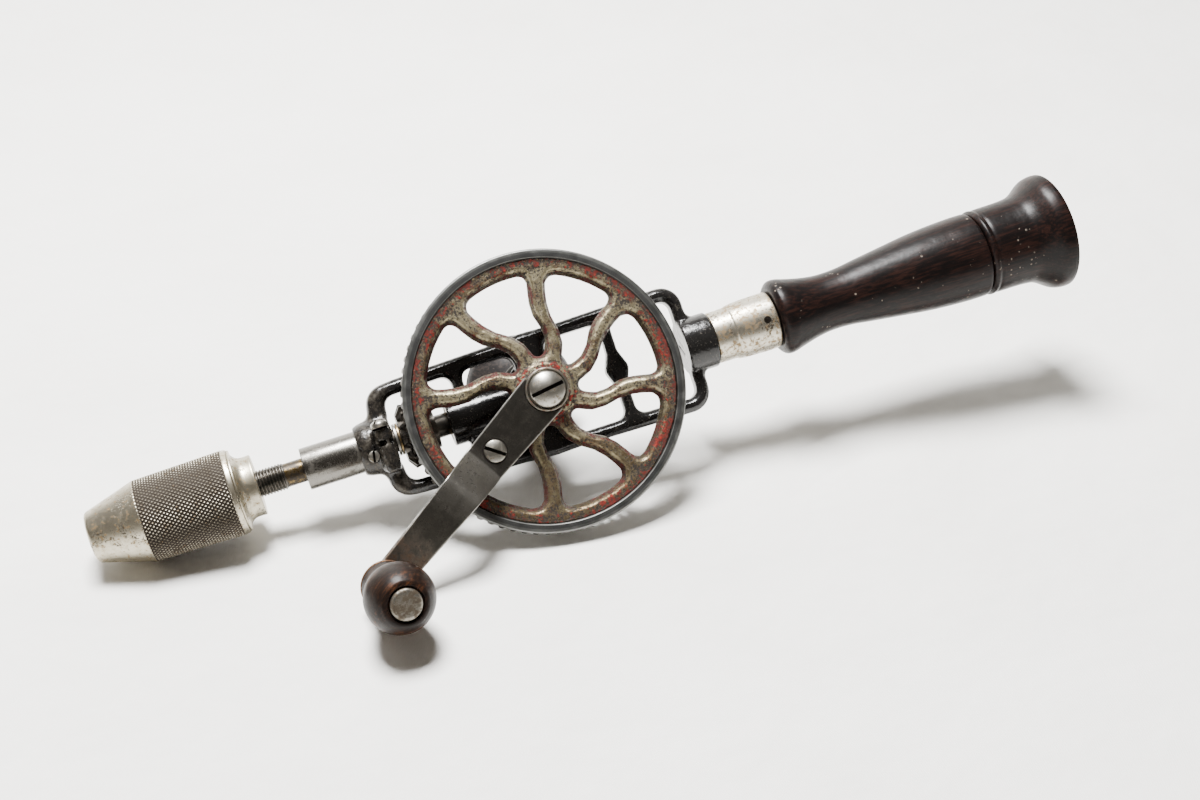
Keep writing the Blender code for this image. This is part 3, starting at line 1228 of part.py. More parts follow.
def ferrule_profile():
    """Outer line of the ferrule, front to back."""
    step = ferrule_front_x + FERRULE_STEP_X_SHARE * FERRULE_LENGTH
    return [(ferrule_front_x, FERRULE_FRONT_RADIUS), (step, FERRULE_FRONT_RADIUS),
            (step + FERRULE_STEP_LENGTH, FERRULE_STEP_RADIUS),
            (ferrule_back_x, FERRULE_REAR_RADIUS)]


def build_ferrule(parent, mat):
    """Stepped metal ferrule between frame and handle."""
    outer = ferrule_profile()
    inner = [(x, radius - FERRULE_WALL) for x, radius in reversed(outer)]
    ferrule = turned("ferrule", outer + inner, parent, mat)
    hole = rod("ferrule_hole_form", FERRULE_STEP_RADIUS - 2 * FERRULE_WALL,
               2 * FERRULE_WALL + 2 * CUT_OVERRUN, FERRULE_PIN_RADIUS + SEAT_GAP, parent,
               along="-Y", at=(ferrule_pin_x(), 0, 0), steps=SMALL_STEPS)
    carve(ferrule, hole)
    return ferrule


def ferrule_pin_x():
    """Place of the pin that holds the handle in the ferrule."""
    return ferrule_back_x - FERRULE_PIN_INSET


def ferrule_pin_foot():
    """Distance from the axis to the inner end of the ferrule's pin."""
    return FERRULE_STEP_RADIUS - FERRULE_PIN_SINK - FERRULE_PIN_LENGTH


def build_ferrule_pin(parent, mat):
    """Small pin through the ferrule into the handle's tenon."""
    return rod("ferrule_pin", ferrule_pin_foot(), FERRULE_PIN_LENGTH, FERRULE_PIN_RADIUS,
               parent, mat, along="-Y", at=(ferrule_pin_x(), 0, 0), steps=TINY_STEPS)


def build_tang(parent, mat):
    """Steel rod that ties the frame to the handle."""
    front = rear_boss_back_x - TANG_IN_FRAME
    return rod("tang", front, tang_back_x - front, TANG_RADIUS, parent, mat, steps=SMALL_STEPS)


def build_grip(parent, mat):
    """Turned handle with a tenon in the ferrule and a bit store bored from the back."""
    step = ferrule_front_x + FERRULE_STEP_X_SHARE * FERRULE_LENGTH + FERRULE_STEP_LENGTH
    tenon = FERRULE_STEP_RADIUS - FERRULE_WALL - SEAT_GAP
    tang = TANG_RADIUS + SEAT_GAP
    profile = [(step, tang), (step, tenon), (grip_front_x, tenon)]
    for share, swell in zip(HANDLE_LENGTH_SHARES, HANDLE_SWELL_SHARES):
        x = grip_front_x + share * (GRIP_LENGTH - GROOVE_WIDTH)
        profile.append((x, swell * SWELL_RADIUS))
    profile.append((grip_back_x, SWELL_RADIUS - GROOVE_DEPTH))
    store = grip_back_x - GRIP_BORE_DEPTH
    profile += [(grip_back_x, GRIP_BORE_RADIUS), (store, GRIP_BORE_RADIUS), (store, tang)]
    grip = turned("handle_grip", profile, parent, mat)
    hole = rod("grip_pin_hole_form", ferrule_pin_foot() - SEAT_GAP,
               FERRULE_PIN_LENGTH + CUT_OVERRUN, FERRULE_PIN_RADIUS + SEAT_GAP, parent,
               along="-Y", at=(ferrule_pin_x(), 0, 0), steps=TINY_STEPS)
    carve(grip, hole)
    return grip


def build_cap(parent, mat):
    """Screw cap with a flared domed end and a hollow spigot in the grip's bore."""
    spigot = GRIP_BORE_RADIUS - SHAFT_GAP
    edge = cap_front_x + CAP_LENGTH_SHARES[-1] * CAP_LENGTH
    profile = [(cap_front_x - CAP_SPIGOT_LENGTH, CAP_BORE_RADIUS),
               (cap_front_x - CAP_SPIGOT_LENGTH, spigot), (cap_front_x, spigot)]
    for share, flare in zip(CAP_LENGTH_SHARES, CAP_RIM_SHARES):
        profile.append((cap_front_x + share * CAP_LENGTH, flare * CAP_RIM_RADIUS))
    profile += dome(edge, CAP_RIM_RADIUS, cap_back_x - edge, 4)
    bore_end = cap_front_x - CAP_SPIGOT_LENGTH + CAP_BORE_DEPTH
    profile += [(bore_end, 0), (bore_end, CAP_BORE_RADIUS)]
    bm = bmesh.new()
    ring = [bm.verts.new((along, 0, radius)) for along, radius in profile]
    axis_end = len(profile) - 2
    edges = [bm.edges.new((ring[i], ring[i + 1])) for i in range(axis_end - 1)]
    edges += [bm.edges.new((ring[axis_end], ring[axis_end + 1])),
              bm.edges.new((ring[axis_end + 1], ring[0]))]
    bmesh.ops.spin(bm, geom=ring + edges, axis=(1, 0, 0), cent=(0, 0, 0), angle=2 * pi,
                   steps=ROUND_STEPS, use_duplicate=False)
    bmesh.ops.remove_doubles(bm, verts=bm.verts, dist=SEAT_GAP / ROUND_STEPS)
    return place(bm, "handle_cap", parent, mat)


def build_side_knob(parent, mat):
    """Large turned knob on the far side, hollowed for the bolt's head."""
    bore = SIDE_BOLT_RADIUS + SEAT_GAP
    recess = SIDE_BOLT_HEAD_RADIUS + SEAT_GAP
    seat = side_knob_end_y - SIDE_BOLT_SINK - SIDE_BOLT_HEAD_LENGTH - SEAT_GAP
    profile = [(side_knob_y, bore)]
    for share, swell in zip(SIDE_KNOB_LENGTH_SHARES, SIDE_KNOB_SWELL_SHARES):
        profile.append((side_knob_y + share * SIDE_KNOB_LENGTH, swell * SIDE_KNOB_RADIUS))
    profile.append((side_knob_widest_y, SIDE_KNOB_RADIUS))
    depth = side_knob_end_y - side_knob_widest_y
    face = SIDE_KNOB_RADIUS - depth
    for i in range(1, 5):
        turn = pi / 2 * i / 4
        profile.append((side_knob_widest_y + depth * sin(turn), face + depth * cos(turn)))
    profile += [(side_knob_end_y, recess), (seat, recess), (seat, bore)]
    return turned("side_knob", profile, parent, mat, along="+Y")


def build_side_collar(parent, mat):
    """Metal collar between the frame and the side knob."""
    return turned("side_knob_collar", (
        (side_collar_y, SIDE_BOLT_RADIUS + SEAT_GAP), (side_collar_y, SIDE_COLLAR_RADIUS),
        (side_collar_y + SIDE_COLLAR_LENGTH, SIDE_COLLAR_RADIUS),
        (side_collar_y + SIDE_COLLAR_LENGTH, SIDE_BOLT_RADIUS + SEAT_GAP)), parent, mat,
        along="+Y", steps=MID_STEPS)


def build_side_bolt(parent, mat):
    """Slotted bolt through the side knob into the frame."""
    foot = KNOB_PAD_REACH - SIDE_BOLT_IN_FRAME
    head_end = side_knob_end_y - SIDE_BOLT_SINK
    head = head_end - SIDE_BOLT_HEAD_LENGTH
    bolt = turned("side_knob_bolt", (
        (foot, 0), (foot, SIDE_BOLT_RADIUS), (head, SIDE_BOLT_RADIUS),
        (head, SIDE_BOLT_HEAD_RADIUS), (head_end, SIDE_BOLT_HEAD_RADIUS), (head_end, 0)), parent,
        mat, along="+Y", steps=SMALL_STEPS)
    reach = SIDE_BOLT_HEAD_RADIUS + CUT_OVERRUN
    slot = block("side_bolt_slot_form",
                 (-reach, head_end - HUB_SCREW_SLOT_WIDTH, -HUB_SCREW_SLOT_WIDTH / 2),
                 (reach, head_end + CUT_OVERRUN, HUB_SCREW_SLOT_WIDTH / 2), parent)
    carve(bolt, slot)
    return bolt


def circle_height(centre, axis, radius, up):
    """Height of a circle's lowest point along a direction."""
    lean = axis.dot(up)
    return centre.dot(up) - radius * sqrt(max(0, 1 - lean * lean))


def resting_up():
    """Direction that points up when chuck, toothed rim and side knob touch the bench."""
    spindle_axis, wheel_axis = Vector((1, 0, 0)), Vector((0, 1, 0))
    cone = atan2(wheel_pitch_radius, pinion_pitch_radius)
    tip_out = ADDENDUM_SHARE * TOOTH_MODULE
    rim_y = -pinion_pitch_radius + tip_out * sin(cone)
    rim_r = wheel_pitch_radius + tip_out * cos(cone)
    rounding = side_knob_end_y - side_knob_widest_y

    def heights(pitch, lean):
        up = Vector((sin(pitch), -cos(pitch) * sin(lean), cos(pitch) * cos(lean)))
        chuck = circle_height(Vector((chuck_cone_x, 0, 0)), spindle_axis, CONE_RADIUS, up)
        rim = circle_height(Vector((0, rim_y, 0)), wheel_axis, rim_r, up)
        knob = circle_height(Vector((SIDE_KNOB_X, side_knob_widest_y, SIDE_KNOB_Z)), wheel_axis,
                             SIDE_KNOB_RADIUS - rounding, up) - rounding
        return np.array((chuck - rim, rim - knob)), up

    angles = np.radians((8.0, 36.0))
    nudge = radians(0.01)
    for _ in range(30):
        miss, up = heights(*angles)
        slope = np.column_stack([(heights(*(angles + step))[0] - miss) / nudge
                                 for step in nudge * np.eye(2)])
        angles = angles - np.linalg.solve(slope, miss)
    return heights(*angles)[1]


def lay_down(root):
    """Turn the drill onto the bench and centre its box over the origin."""
    up = resting_up()
    along = (Vector((1, 0, 0)) - up * up.x).normalized()
    across = up.cross(along)
    turn = Matrix((along, across, up)).to_4x4()
    root.matrix_world = turn
    bpy.context.view_layer.update()
    depsgraph = bpy.context.evaluated_depsgraph_get()
    low, high = np.full(3, np.inf), np.full(3, -np.inf)
    for obj in bpy.context.scene.objects:
        if obj.type != "MESH" or obj.hide_render:
            continue
        mesh = obj.evaluated_get(depsgraph).to_mesh()
        points = np.empty(len(mesh.vertices) * 3)
        mesh.vertices.foreach_get("co", points)
        matrix = np.array(obj.matrix_world)
        world = points.reshape(-1, 3) @ matrix[:3, :3].T + matrix[:3, 3]
        low, high = np.minimum(low, world.min(0)), np.maximum(high, world.max(0))
        obj.evaluated_get(depsgraph).to_mesh_clear()
    middle = (low + high) / 2
    root.matrix_world = Matrix.Translation((-middle[0], -middle[1], -low[2])) @ turn
    bpy.context.view_layer.update()


def build_drill():
    """Make every piece and hang it on its own axis."""
    clear_scene()
    enamel = finish("black_enamel", (0.015, 0.014, 0.013), 0.28, 0.0)
    nickel = finish("worn_nickel", (0.62, 0.58, 0.52), 0.30, 1.0)
    steel = finish("dark_steel", (0.20, 0.19, 0.18), 0.38, 1.0)
    bright = finish("bright_steel", (0.56, 0.55, 0.53), 0.25, 1.0)
    wheel_iron = finish("worn_wheel", (0.36, 0.32, 0.25), 0.42, 0.8)
    black_steel = finish("black_steel", (0.09, 0.085, 0.08), 0.35, 1.0)
    brass = finish("bronze", (0.55, 0.40, 0.18), 0.35, 1.0)
    rosewood = finish("rosewood", (0.045, 0.018, 0.012), 0.30, 0.0)
    walnut = finish("brown_wood", (0.10, 0.045, 0.022), 0.38, 0.0)
    rust = finish("rusted_steel", (0.16, 0.08, 0.045), 0.65, 0.6)

    root = empty("drill_lines")
    wheel_axis = empty("wheel_axis", root)
    knob_axis = empty("knob_axis", wheel_axis, (crank_x, arm_tip_y, crank_z),
                      (-CRANK_TWIST, -CRANK_ANGLE, 0))
    spindle_axis = empty("spindle_axis", root)
    sleeve_axis = empty("sleeve_axis", spindle_axis)
    cap_axis = empty("cap_axis", root)
    side_axis = empty("side_axis", root, (SIDE_KNOB_X, 0, SIDE_KNOB_Z))

    build_frame(root, enamel)
    build_bearing_sleeve(root, bright)
    build_rear_bush(root, brass)
    build_clamp_screw(root, bright)
    build_lock_screw(root, steel)
    build_axle(root, steel)
    build_hub_screw(root, bright)
    build_side_collar(side_axis, steel)
    build_side_knob(side_axis, rosewood)
    build_side_bolt(side_axis, steel)
    build_tang(root, steel)
    build_ferrule(root, nickel)
    build_ferrule_pin(root, steel)
    build_grip(root, rosewood)
    build_cap(cap_axis, rosewood)

    build_wheel(wheel_axis, wheel_iron)
    build_crank_arm(wheel_axis, knob_axis, steel)
    build_crank_screw(wheel_axis, bright)
    build_crank_pin(knob_axis, bright)
    build_knob_washer(knob_axis, rust)
    build_crank_knob(knob_axis, walnut)

    build_spindle(spindle_axis, black_steel)
    build_pinion(spindle_axis, black_steel)
    build_pinion_pin(spindle_axis, bright)
    build_thrust_washers(spindle_axis, bright, brass)
    build_chuck_body(spindle_axis, nickel)
    for index in range(JAW_COUNT):
        build_jaw(index, spindle_axis, steel)
    build_chuck_sleeve(sleeve_axis, nickel)
    lay_down(root)


build_drill()
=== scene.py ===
"""Looks of the hand drill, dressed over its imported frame.

Lengths are in millimetres along the drill's own lines: x follows the spindle towards the
handle, -y points out of the wheel's face, and z is square to both. They cross where the
wheel's axis meets the spindle's. A Lines object carries such points onto the bench, in metres.
"""

import json
import logging
from dataclasses import dataclass, field
from enum import Enum
from math import atan2, cos, pi, radians, sin, tan

import bmesh
import bpy
import numpy as np
from mathutils import Matrix, Vector

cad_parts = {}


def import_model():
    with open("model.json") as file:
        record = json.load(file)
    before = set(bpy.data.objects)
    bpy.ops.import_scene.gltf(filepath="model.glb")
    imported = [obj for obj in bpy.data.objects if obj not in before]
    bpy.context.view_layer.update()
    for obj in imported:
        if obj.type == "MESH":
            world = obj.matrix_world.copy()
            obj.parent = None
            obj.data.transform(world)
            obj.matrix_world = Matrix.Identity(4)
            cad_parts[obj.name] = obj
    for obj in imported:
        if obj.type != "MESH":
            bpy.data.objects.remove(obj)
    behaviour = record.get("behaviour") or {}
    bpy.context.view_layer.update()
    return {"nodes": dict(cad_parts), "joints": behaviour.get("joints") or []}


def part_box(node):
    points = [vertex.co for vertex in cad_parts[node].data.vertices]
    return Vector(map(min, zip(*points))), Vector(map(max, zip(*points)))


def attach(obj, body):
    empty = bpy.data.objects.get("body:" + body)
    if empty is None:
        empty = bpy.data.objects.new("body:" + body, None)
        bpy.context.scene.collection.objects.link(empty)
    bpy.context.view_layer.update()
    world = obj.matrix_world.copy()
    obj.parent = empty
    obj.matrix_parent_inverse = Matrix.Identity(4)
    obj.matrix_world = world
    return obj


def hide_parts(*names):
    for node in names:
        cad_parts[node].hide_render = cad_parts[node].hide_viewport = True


logger = logging.getLogger("hand_drill")

MM = 0.001  # metres in a millimetre
TURN = 2 * pi
FACE_Y = -19.98  # y of the crank joint's place, which is on the wheel's face
MOST_EASE = 0.48  # share of a side that the rounding at one end of it may take


# --------------------------------------------------------------------------------------
# Lines and meshes
# --------------------------------------------------------------------------------------
class Along(Enum):
    """Which way a turned piece grows from its foot."""

    SPINDLE = "x"
    OUT = "-y"
    FAR = "+y"


@dataclass(frozen=True)
class Lines:
    """A set of square axes on the bench, with an origin in metres and rows x, y, z."""

    origin: np.ndarray
    axes: np.ndarray

    @classmethod
    def through(cls, origin: np.ndarray, x: np.ndarray, y: np.ndarray) -> "Lines":
        """Make axes from an origin, an x direction and a direction near y.

        Args:
            origin: Where the axes cross, in metres.
            x: Direction of x.
            y: Direction that y keeps closest to while it stays square to x.

        Returns:
            The lines.
        """
        x = x / np.linalg.norm(x)
        y = y - x * (x @ y)
        y = y / np.linalg.norm(y)
        return cls(origin, np.stack([x, y, np.cross(x, y)]))

    def to_bench(self, points: np.ndarray) -> np.ndarray:
        """Carry millimetres along these lines to metres on the bench."""
        return self.origin + np.asarray(points) @ self.axes * MM

    def from_bench(self, points: np.ndarray) -> np.ndarray:
        """Carry metres on the bench to millimetres along these lines."""
        return (np.asarray(points) - self.origin) @ self.axes.T / MM

    def turned(self) -> tuple[float, float, float]:
        """The lines' turn as Euler angles."""
        return tuple(Matrix(self.axes.T.tolist()).to_euler())


def eased(corners: list[tuple[float, float, float]], steps: int = 4) -> np.ndarray:
    """Round the corners of an outline.

    Each corner (along, radius, ease) becomes a quadratic Bezier curve that leaves the outline
    `ease` before the corner and joins it `ease` after it. The first and last stay sharp.

    Args:
        corners: Corners of the outline with the ease of each.
        steps: Segments of each rounding.

    Returns:
        The outline as an (n, 2) array.
    """
    spots = np.array([corner[:2] for corner in corners], float)
    line = []
    for i, (_, _, ease) in enumerate(corners):
        if ease <= 0 or i in (0, len(corners) - 1):
            line.append(spots[i][None])
            continue
        before, after = spots[i - 1] - spots[i], spots[i + 1] - spots[i]
        reach_in, reach_out = np.linalg.norm(before), np.linalg.norm(after)
        start = spots[i] + before / reach_in * min(ease, reach_in * MOST_EASE)
        end = spots[i] + after / reach_out * min(ease, reach_out * MOST_EASE)
        t = np.linspace(0, 1, steps + 1)[:, None]
        line.append((1 - t) ** 2 * start + 2 * t * (1 - t) * spots[i] + t ** 2 * end)
    return np.concatenate(line)


def flowing(knots: list[tuple[float, float]], count: int) -> np.ndarray:
    """Carry a smooth outline through knots.

    The radius is a cubic Hermite curve of the distance along, with the slope at each knot the
    mean of its neighbours' slopes.

    Args:
        knots: Pairs of distance along and radius, in rising order.
        count: Points on the outline.

    Returns:
        The outline as an (n, 2) array.
    """
    x, r = np.array(knots, float).T
    slope = np.gradient(r, x)
    along = np.linspace(x[0], x[-1], count)
    i = np.clip(np.searchsorted(x, along, side="right") - 1, 0, len(x) - 2)
    step = x[i + 1] - x[i]
    t = (along - x[i]) / step
    radius = ((1 + 2 * t) * (1 - t) ** 2 * r[i] + t * (1 - t) ** 2 * step * slope[i]
              + t * t * (3 - 2 * t) * r[i + 1] + t * t * (t - 1) * step * slope[i + 1])
    return np.stack([along, radius], 1)


def rolled(start: float, end: float, inner: float, outer: float, ease: float,
           steps: int = 4) -> np.ndarray:
    """The outline of a ring with rounded outer edges, open on its inner side.

    Args:
        start: Where the ring starts along the axis.
        end: Where it ends.
        inner: Inner radius.
        outer: Outer radius.
        ease: Rounding of the outer edges.
        steps: Segments of each rounding.

    Returns:
        The outline as an (n, 2) array.
    """
    return eased([(start, inner, 0), (start, outer, ease), (end, outer, ease),
                  (end, inner, 0)], steps)


def middle_of(node: str, lines: Lines) -> np.ndarray:
    """The middle of a CAD node's box, in millimetres along the lines."""
    low, high = (np.array(corner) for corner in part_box(node))
    return lines.from_bench(((low + high) / 2)[None])[0]


def grid_faces(rows: int, columns: int, wrap_rows: bool, wrap_columns: bool) -> np.ndarray:
    """Quads between neighbouring rows and columns of a grid of points.

    Args:
        rows: Points along the first direction.
        columns: Points along the second direction.
        wrap_rows: Whether the last row joins the first.
        wrap_columns: Whether the last column joins the first.

    Returns:
        An (n, 4) array of point numbers.
    """
    row, column = np.meshgrid(np.arange(rows if wrap_rows else rows - 1),
                              np.arange(columns if wrap_columns else columns - 1), indexing="ij")
    below, right = (row + 1) % rows, (column + 1) % columns
    corners = [row * columns + column, row * columns + right, below * columns + right,
               below * columns + column]
    return np.stack(corners, -1).reshape(-1, 4)


@dataclass
class Piece:
    """One finished shape on its way onto the drill.

    Attributes:
        name: Object name.
        points: (n, 3) places in millimetres along the lines.
        faces: (m, 4) or (m, 3) point numbers.
        lines: The lines that the places follow.
        crease: Angle in degrees past which an edge stays sharp.
        marks: Values by point that the finish reads, such as wear.
    """

    name: str
    points: np.ndarray
    faces: np.ndarray
    lines: Lines
    crease: float = 32.0
    marks: dict[str, np.ndarray] = field(default_factory=dict)

    def make(self, material: bpy.types.Material, body: str, slot: str,
             replaces: tuple[str, ...] = ()) -> bpy.types.Object:
        """Put the shape into a mesh, close its seams and hang it on its body.

        Args:
            material: The finish.
            body: CAD body that it rides on.
            slot: Material slot in the record; not used.
            replaces: CAD nodes that it stands for.

        Returns:
            The new object.
        """
        mesh = bpy.data.meshes.new(self.name)
        mesh.from_pydata(self.lines.to_bench(self.points).tolist(), [], self.faces.tolist())
        for mark, values in self.marks.items():
            attribute = mesh.attributes.new(mark, "FLOAT", "POINT")
            attribute.data.foreach_set("value", np.asarray(values, np.float32).ravel())
        form = bmesh.new()
        form.from_mesh(mesh)
        bmesh.ops.remove_doubles(form, verts=form.verts, dist=1e-7)
        bmesh.ops.dissolve_degenerate(form, edges=form.edges, dist=1e-8)
        loose = [edge for edge in form.edges if edge.is_boundary]
        if loose:
            bmesh.ops.holes_fill(form, edges=loose, sides=0)
        bmesh.ops.recalc_face_normals(form, faces=form.faces)
        if form.calc_volume(signed=True) < 0:
            bmesh.ops.reverse_faces(form, faces=form.faces)
        form.to_mesh(mesh)
        form.free()
        mesh.shade_smooth()
        mesh.set_sharp_from_angle(angle=radians(self.crease))
        piece = bpy.data.objects.new(self.name, mesh)
        bpy.context.scene.collection.objects.link(piece)
        mesh.materials.append(material)
        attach(piece, body)
        if replaces:
            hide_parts(*replaces)
        logger.info("%s: %d faces on %s", self.name, len(mesh.polygons), body)
        return piece


def turn_up(name: str, outline: np.ndarray, lines: Lines, along: Along = Along.SPINDLE,
            steps: int = 96, at: tuple[float, float] = (0.0, 0.0),
            closed: bool = False) -> Piece:
    """Turn an outline about an axis.

    A point at (distance, radius) goes to distance along the axis and radius * (cos, sin) of
    the angle across it.

    Args:
        name: Object name.
        outline: (n, 2) array of distance along the axis and radius.
        lines: Lines that the axis is parallel to.
        along: The axis.
        steps: Points once round.
        at: Where the axis crosses the plane square to it.
        closed: Whether the outline's end joins its start, as on a ring.

    Returns:
        The piece.
    """
    angle = np.arange(steps) * TURN / steps
    distance, radius = outline[:, :1], np.abs(outline[:, 1:])
    across, over = radius * np.cos(angle), radius * np.sin(angle)
    reach = np.broadcast_to(distance, across.shape)
    if along is Along.SPINDLE:
        points = np.stack([reach, across + at[0], over + at[1]], -1)
    else:
        sign = -1.0 if along is Along.OUT else 1.0
        points = np.stack([across + at[0], sign * reach, over + at[1]], -1)
    faces = grid_faces(len(outline), steps, closed, True)
    return Piece(name, points.reshape(-1, 3), faces, lines)


@dataclass(frozen=True)
class SlottedHead:
    """A domed screw head with a slot.

    Attributes:
        radius: Radius of the head.
        base: Distance of its foot along -y of the lines.
        rim: Height of its side.
        dome: Height of the dome over the side.
        width: Width of the slot.
        depth: Depth of the slot below the top.
        turn: Turn of the slot in degrees.
    """

    radius: float
    base: float
    rim: float
    dome: float
    width: float
    depth: float
    turn: float

    def shape(self, name: str, lines: Lines, at: tuple[float, float] = (0.0, 0.0)) -> Piece:
        """Work out the head's surface.

        Columns stand square to the slot and are closer together at its walls. The top's
        height at distance d from the middle is rim + dome * (1 - (d / radius)**2), rounded
        off over the outer tenth, and less inside the slot. The same grid laid flat closes the
        head below.

        Args:
            name: Object name.
            lines: Lines whose -y the head faces.
            at: Place of the screw's axis in x and z.

        Returns:
            The piece.
        """
        half, wall = self.width / 2, 0.06
        side = np.sin(np.linspace(0, pi / 2, 16)) * (self.radius - half - wall) + half + wall
        across = np.concatenate([-side[::-1], np.linspace(-half, half, 5), side])
        share = np.sin(np.linspace(-pi / 2, pi / 2, 41))
        u = np.broadcast_to(across[:, None], (len(across), len(share)))
        v = share[None] * np.sqrt(np.maximum(self.radius ** 2 - u ** 2, 0))
        far = np.hypot(u, v) / self.radius
        shoulder = 0.16 * self.radius * np.clip((far - 0.9) / 0.1, 0, 1) ** 2
        height = self.rim + self.dome * (1 - far ** 2) - shoulder
        floor = self.rim + self.dome - self.depth
        sunk = (np.abs(u) <= half + 1e-6) & (height > floor)
        height = np.where(sunk, floor, height)
        top = np.stack([u, self.base + height, v], -1)
        foot = np.stack([u, np.full_like(height, self.base), v], -1)
        grid = np.concatenate([top.reshape(-1, 3), foot.reshape(-1, 3)])
        a = -radians(self.turn)
        x = grid[:, 0] * sin(a) + grid[:, 2] * cos(a)
        z = -grid[:, 0] * cos(a) + grid[:, 2] * sin(a)
        points = np.stack([x + at[0], -grid[:, 1], -z + at[1]], -1)
        rows, columns = u.shape
        upper = grid_faces(rows, columns, False, False)
        lower = upper[:, ::-1] + rows * columns
        border = np.concatenate([np.arange(rows) * columns,
                                 (rows - 1) * columns + np.arange(columns),
                                 np.arange(rows)[::-1] * columns + columns - 1,
                                 np.arange(columns)[::-1]])
        after = np.roll(border, -1)
        skirt = np.stack([border, after, after + rows * columns, border + rows * columns], 1)
        # Marks the slot's floor, which the finish paints dark as shade.
        grime = np.concatenate([sunk.ravel(), np.zeros(sunk.size)])
        return Piece(name, points, np.concatenate([upper, lower, skirt]), lines, 40.0,
                     {"grime": grime})


@dataclass
class Skin:
    """An even skin of small quads over a casting.

    Attributes:
        points: (n, 3) places in millimetres along the drill's lines.
        edges: (m, 2) point numbers.
        faces: (k, 4) point numbers.
    """

    points: np.ndarray
    edges: np.ndarray
    faces: np.ndarray

    def __post_init__(self) -> None:
        """Lay each edge both ways and count the edges at each point."""
        self.start, self.end = np.concatenate([self.edges, self.edges[:, ::-1]]).T
        count = np.bincount(self.start, minlength=len(self.points))
        self.degree = np.maximum(count, 1)[:, None]

    @classmethod
    def over(cls, node: bpy.types.Object, grain: float, lines: Lines) -> "Skin":
        """Lay a skin over a copy of a CAD node's shape.

        Args:
            node: The CAD node, which is left alone.
            grain: Size of the quads in millimetres.
            lines: Lines that the places follow.

        Returns:
            The skin.
        """
        mesh = node.data.copy()
        form = bmesh.new()
        form.from_mesh(mesh)
        bmesh.ops.remove_doubles(form, verts=form.verts, dist=1e-6)
        form.to_mesh(mesh)
        form.free()
        stand_in = bpy.data.objects.new("casting_copy", mesh)
        bpy.context.scene.collection.objects.link(stand_in)
        remesh = stand_in.modifiers.new("skin", "REMESH")
        remesh.mode = "VOXEL"
        remesh.voxel_size = grain * MM
        evaluated = stand_in.evaluated_get(bpy.context.evaluated_depsgraph_get())
        skin = evaluated.to_mesh()
        points = np.empty(len(skin.vertices) * 3)
        skin.vertices.foreach_get("co", points)
        edges = np.empty(len(skin.edges) * 2, int)
        skin.edges.foreach_get("vertices", edges)
        loops = np.empty(len(skin.loops), int)
        skin.loops.foreach_get("vertex_index", loops)
        evaluated.to_mesh_clear()
        bpy.data.objects.remove(stand_in)
        return cls(lines.from_bench(points.reshape(-1, 3)), edges.reshape(-1, 2),
                   loops.reshape(-1, 4))

    def spread(self, values: np.ndarray, rounds: int) -> np.ndarray:
        """Blur values along the skin: each round gives a point the mean of its neighbours.

        Args:
            values: (n,) or (n, k) values by point.
            rounds: How many times the mean is taken.

        Returns:
            The new values, in the same shape.
        """
        for _ in range(rounds):
            columns = values.reshape(len(values), -1).T
            sums = np.stack([np.bincount(self.start, column[self.end], len(column))
                             for column in columns], 1)
            values = (sums / self.degree).reshape(values.shape)
        return values

    def softened(self, rounds: int, back: float, pull: float = 0.55) -> np.ndarray:
        """Round off the skin's edges.

        Each round moves every point towards the mean of its neighbours, and then back by a
        share of that, so that edges round off while the walls nearly keep their thickness.

        Args:
            rounds: How many times both moves are made.
            back: The move back as a share of the move in.
            pull: Share of the way to the neighbours' mean.

        Returns:
            The new places.
        """
        points = self.points
        for _ in range(rounds):
            for step in (pull, -pull * back):
                points = points + step * (self.spread(points, 1) - points)
        return points

    def crest(self, rounds: int) -> np.ndarray:
        """Tell how proud each point stands: above 0 on an edge, below 0 in a corner.

        It is the distance along the normal between the skin and the same skin smoothed.

        Args:
            rounds: How many times it is smoothed.

        Returns:
            Distances by point, in millimetres.
        """
        corners = self.faces[:, :3].T
        a, b, c = (self.points[corner] for corner in corners)
        flat = np.cross(b - a, c - a)
        normal = np.stack([sum(np.bincount(corner, flat[:, k], len(self.points))
                               for corner in corners) for k in range(3)], 1)
        normal /= np.maximum(np.linalg.norm(normal, axis=1, keepdims=True), 1e-12)
        return ((self.points - self.spread(self.points, rounds)) * normal).sum(1)


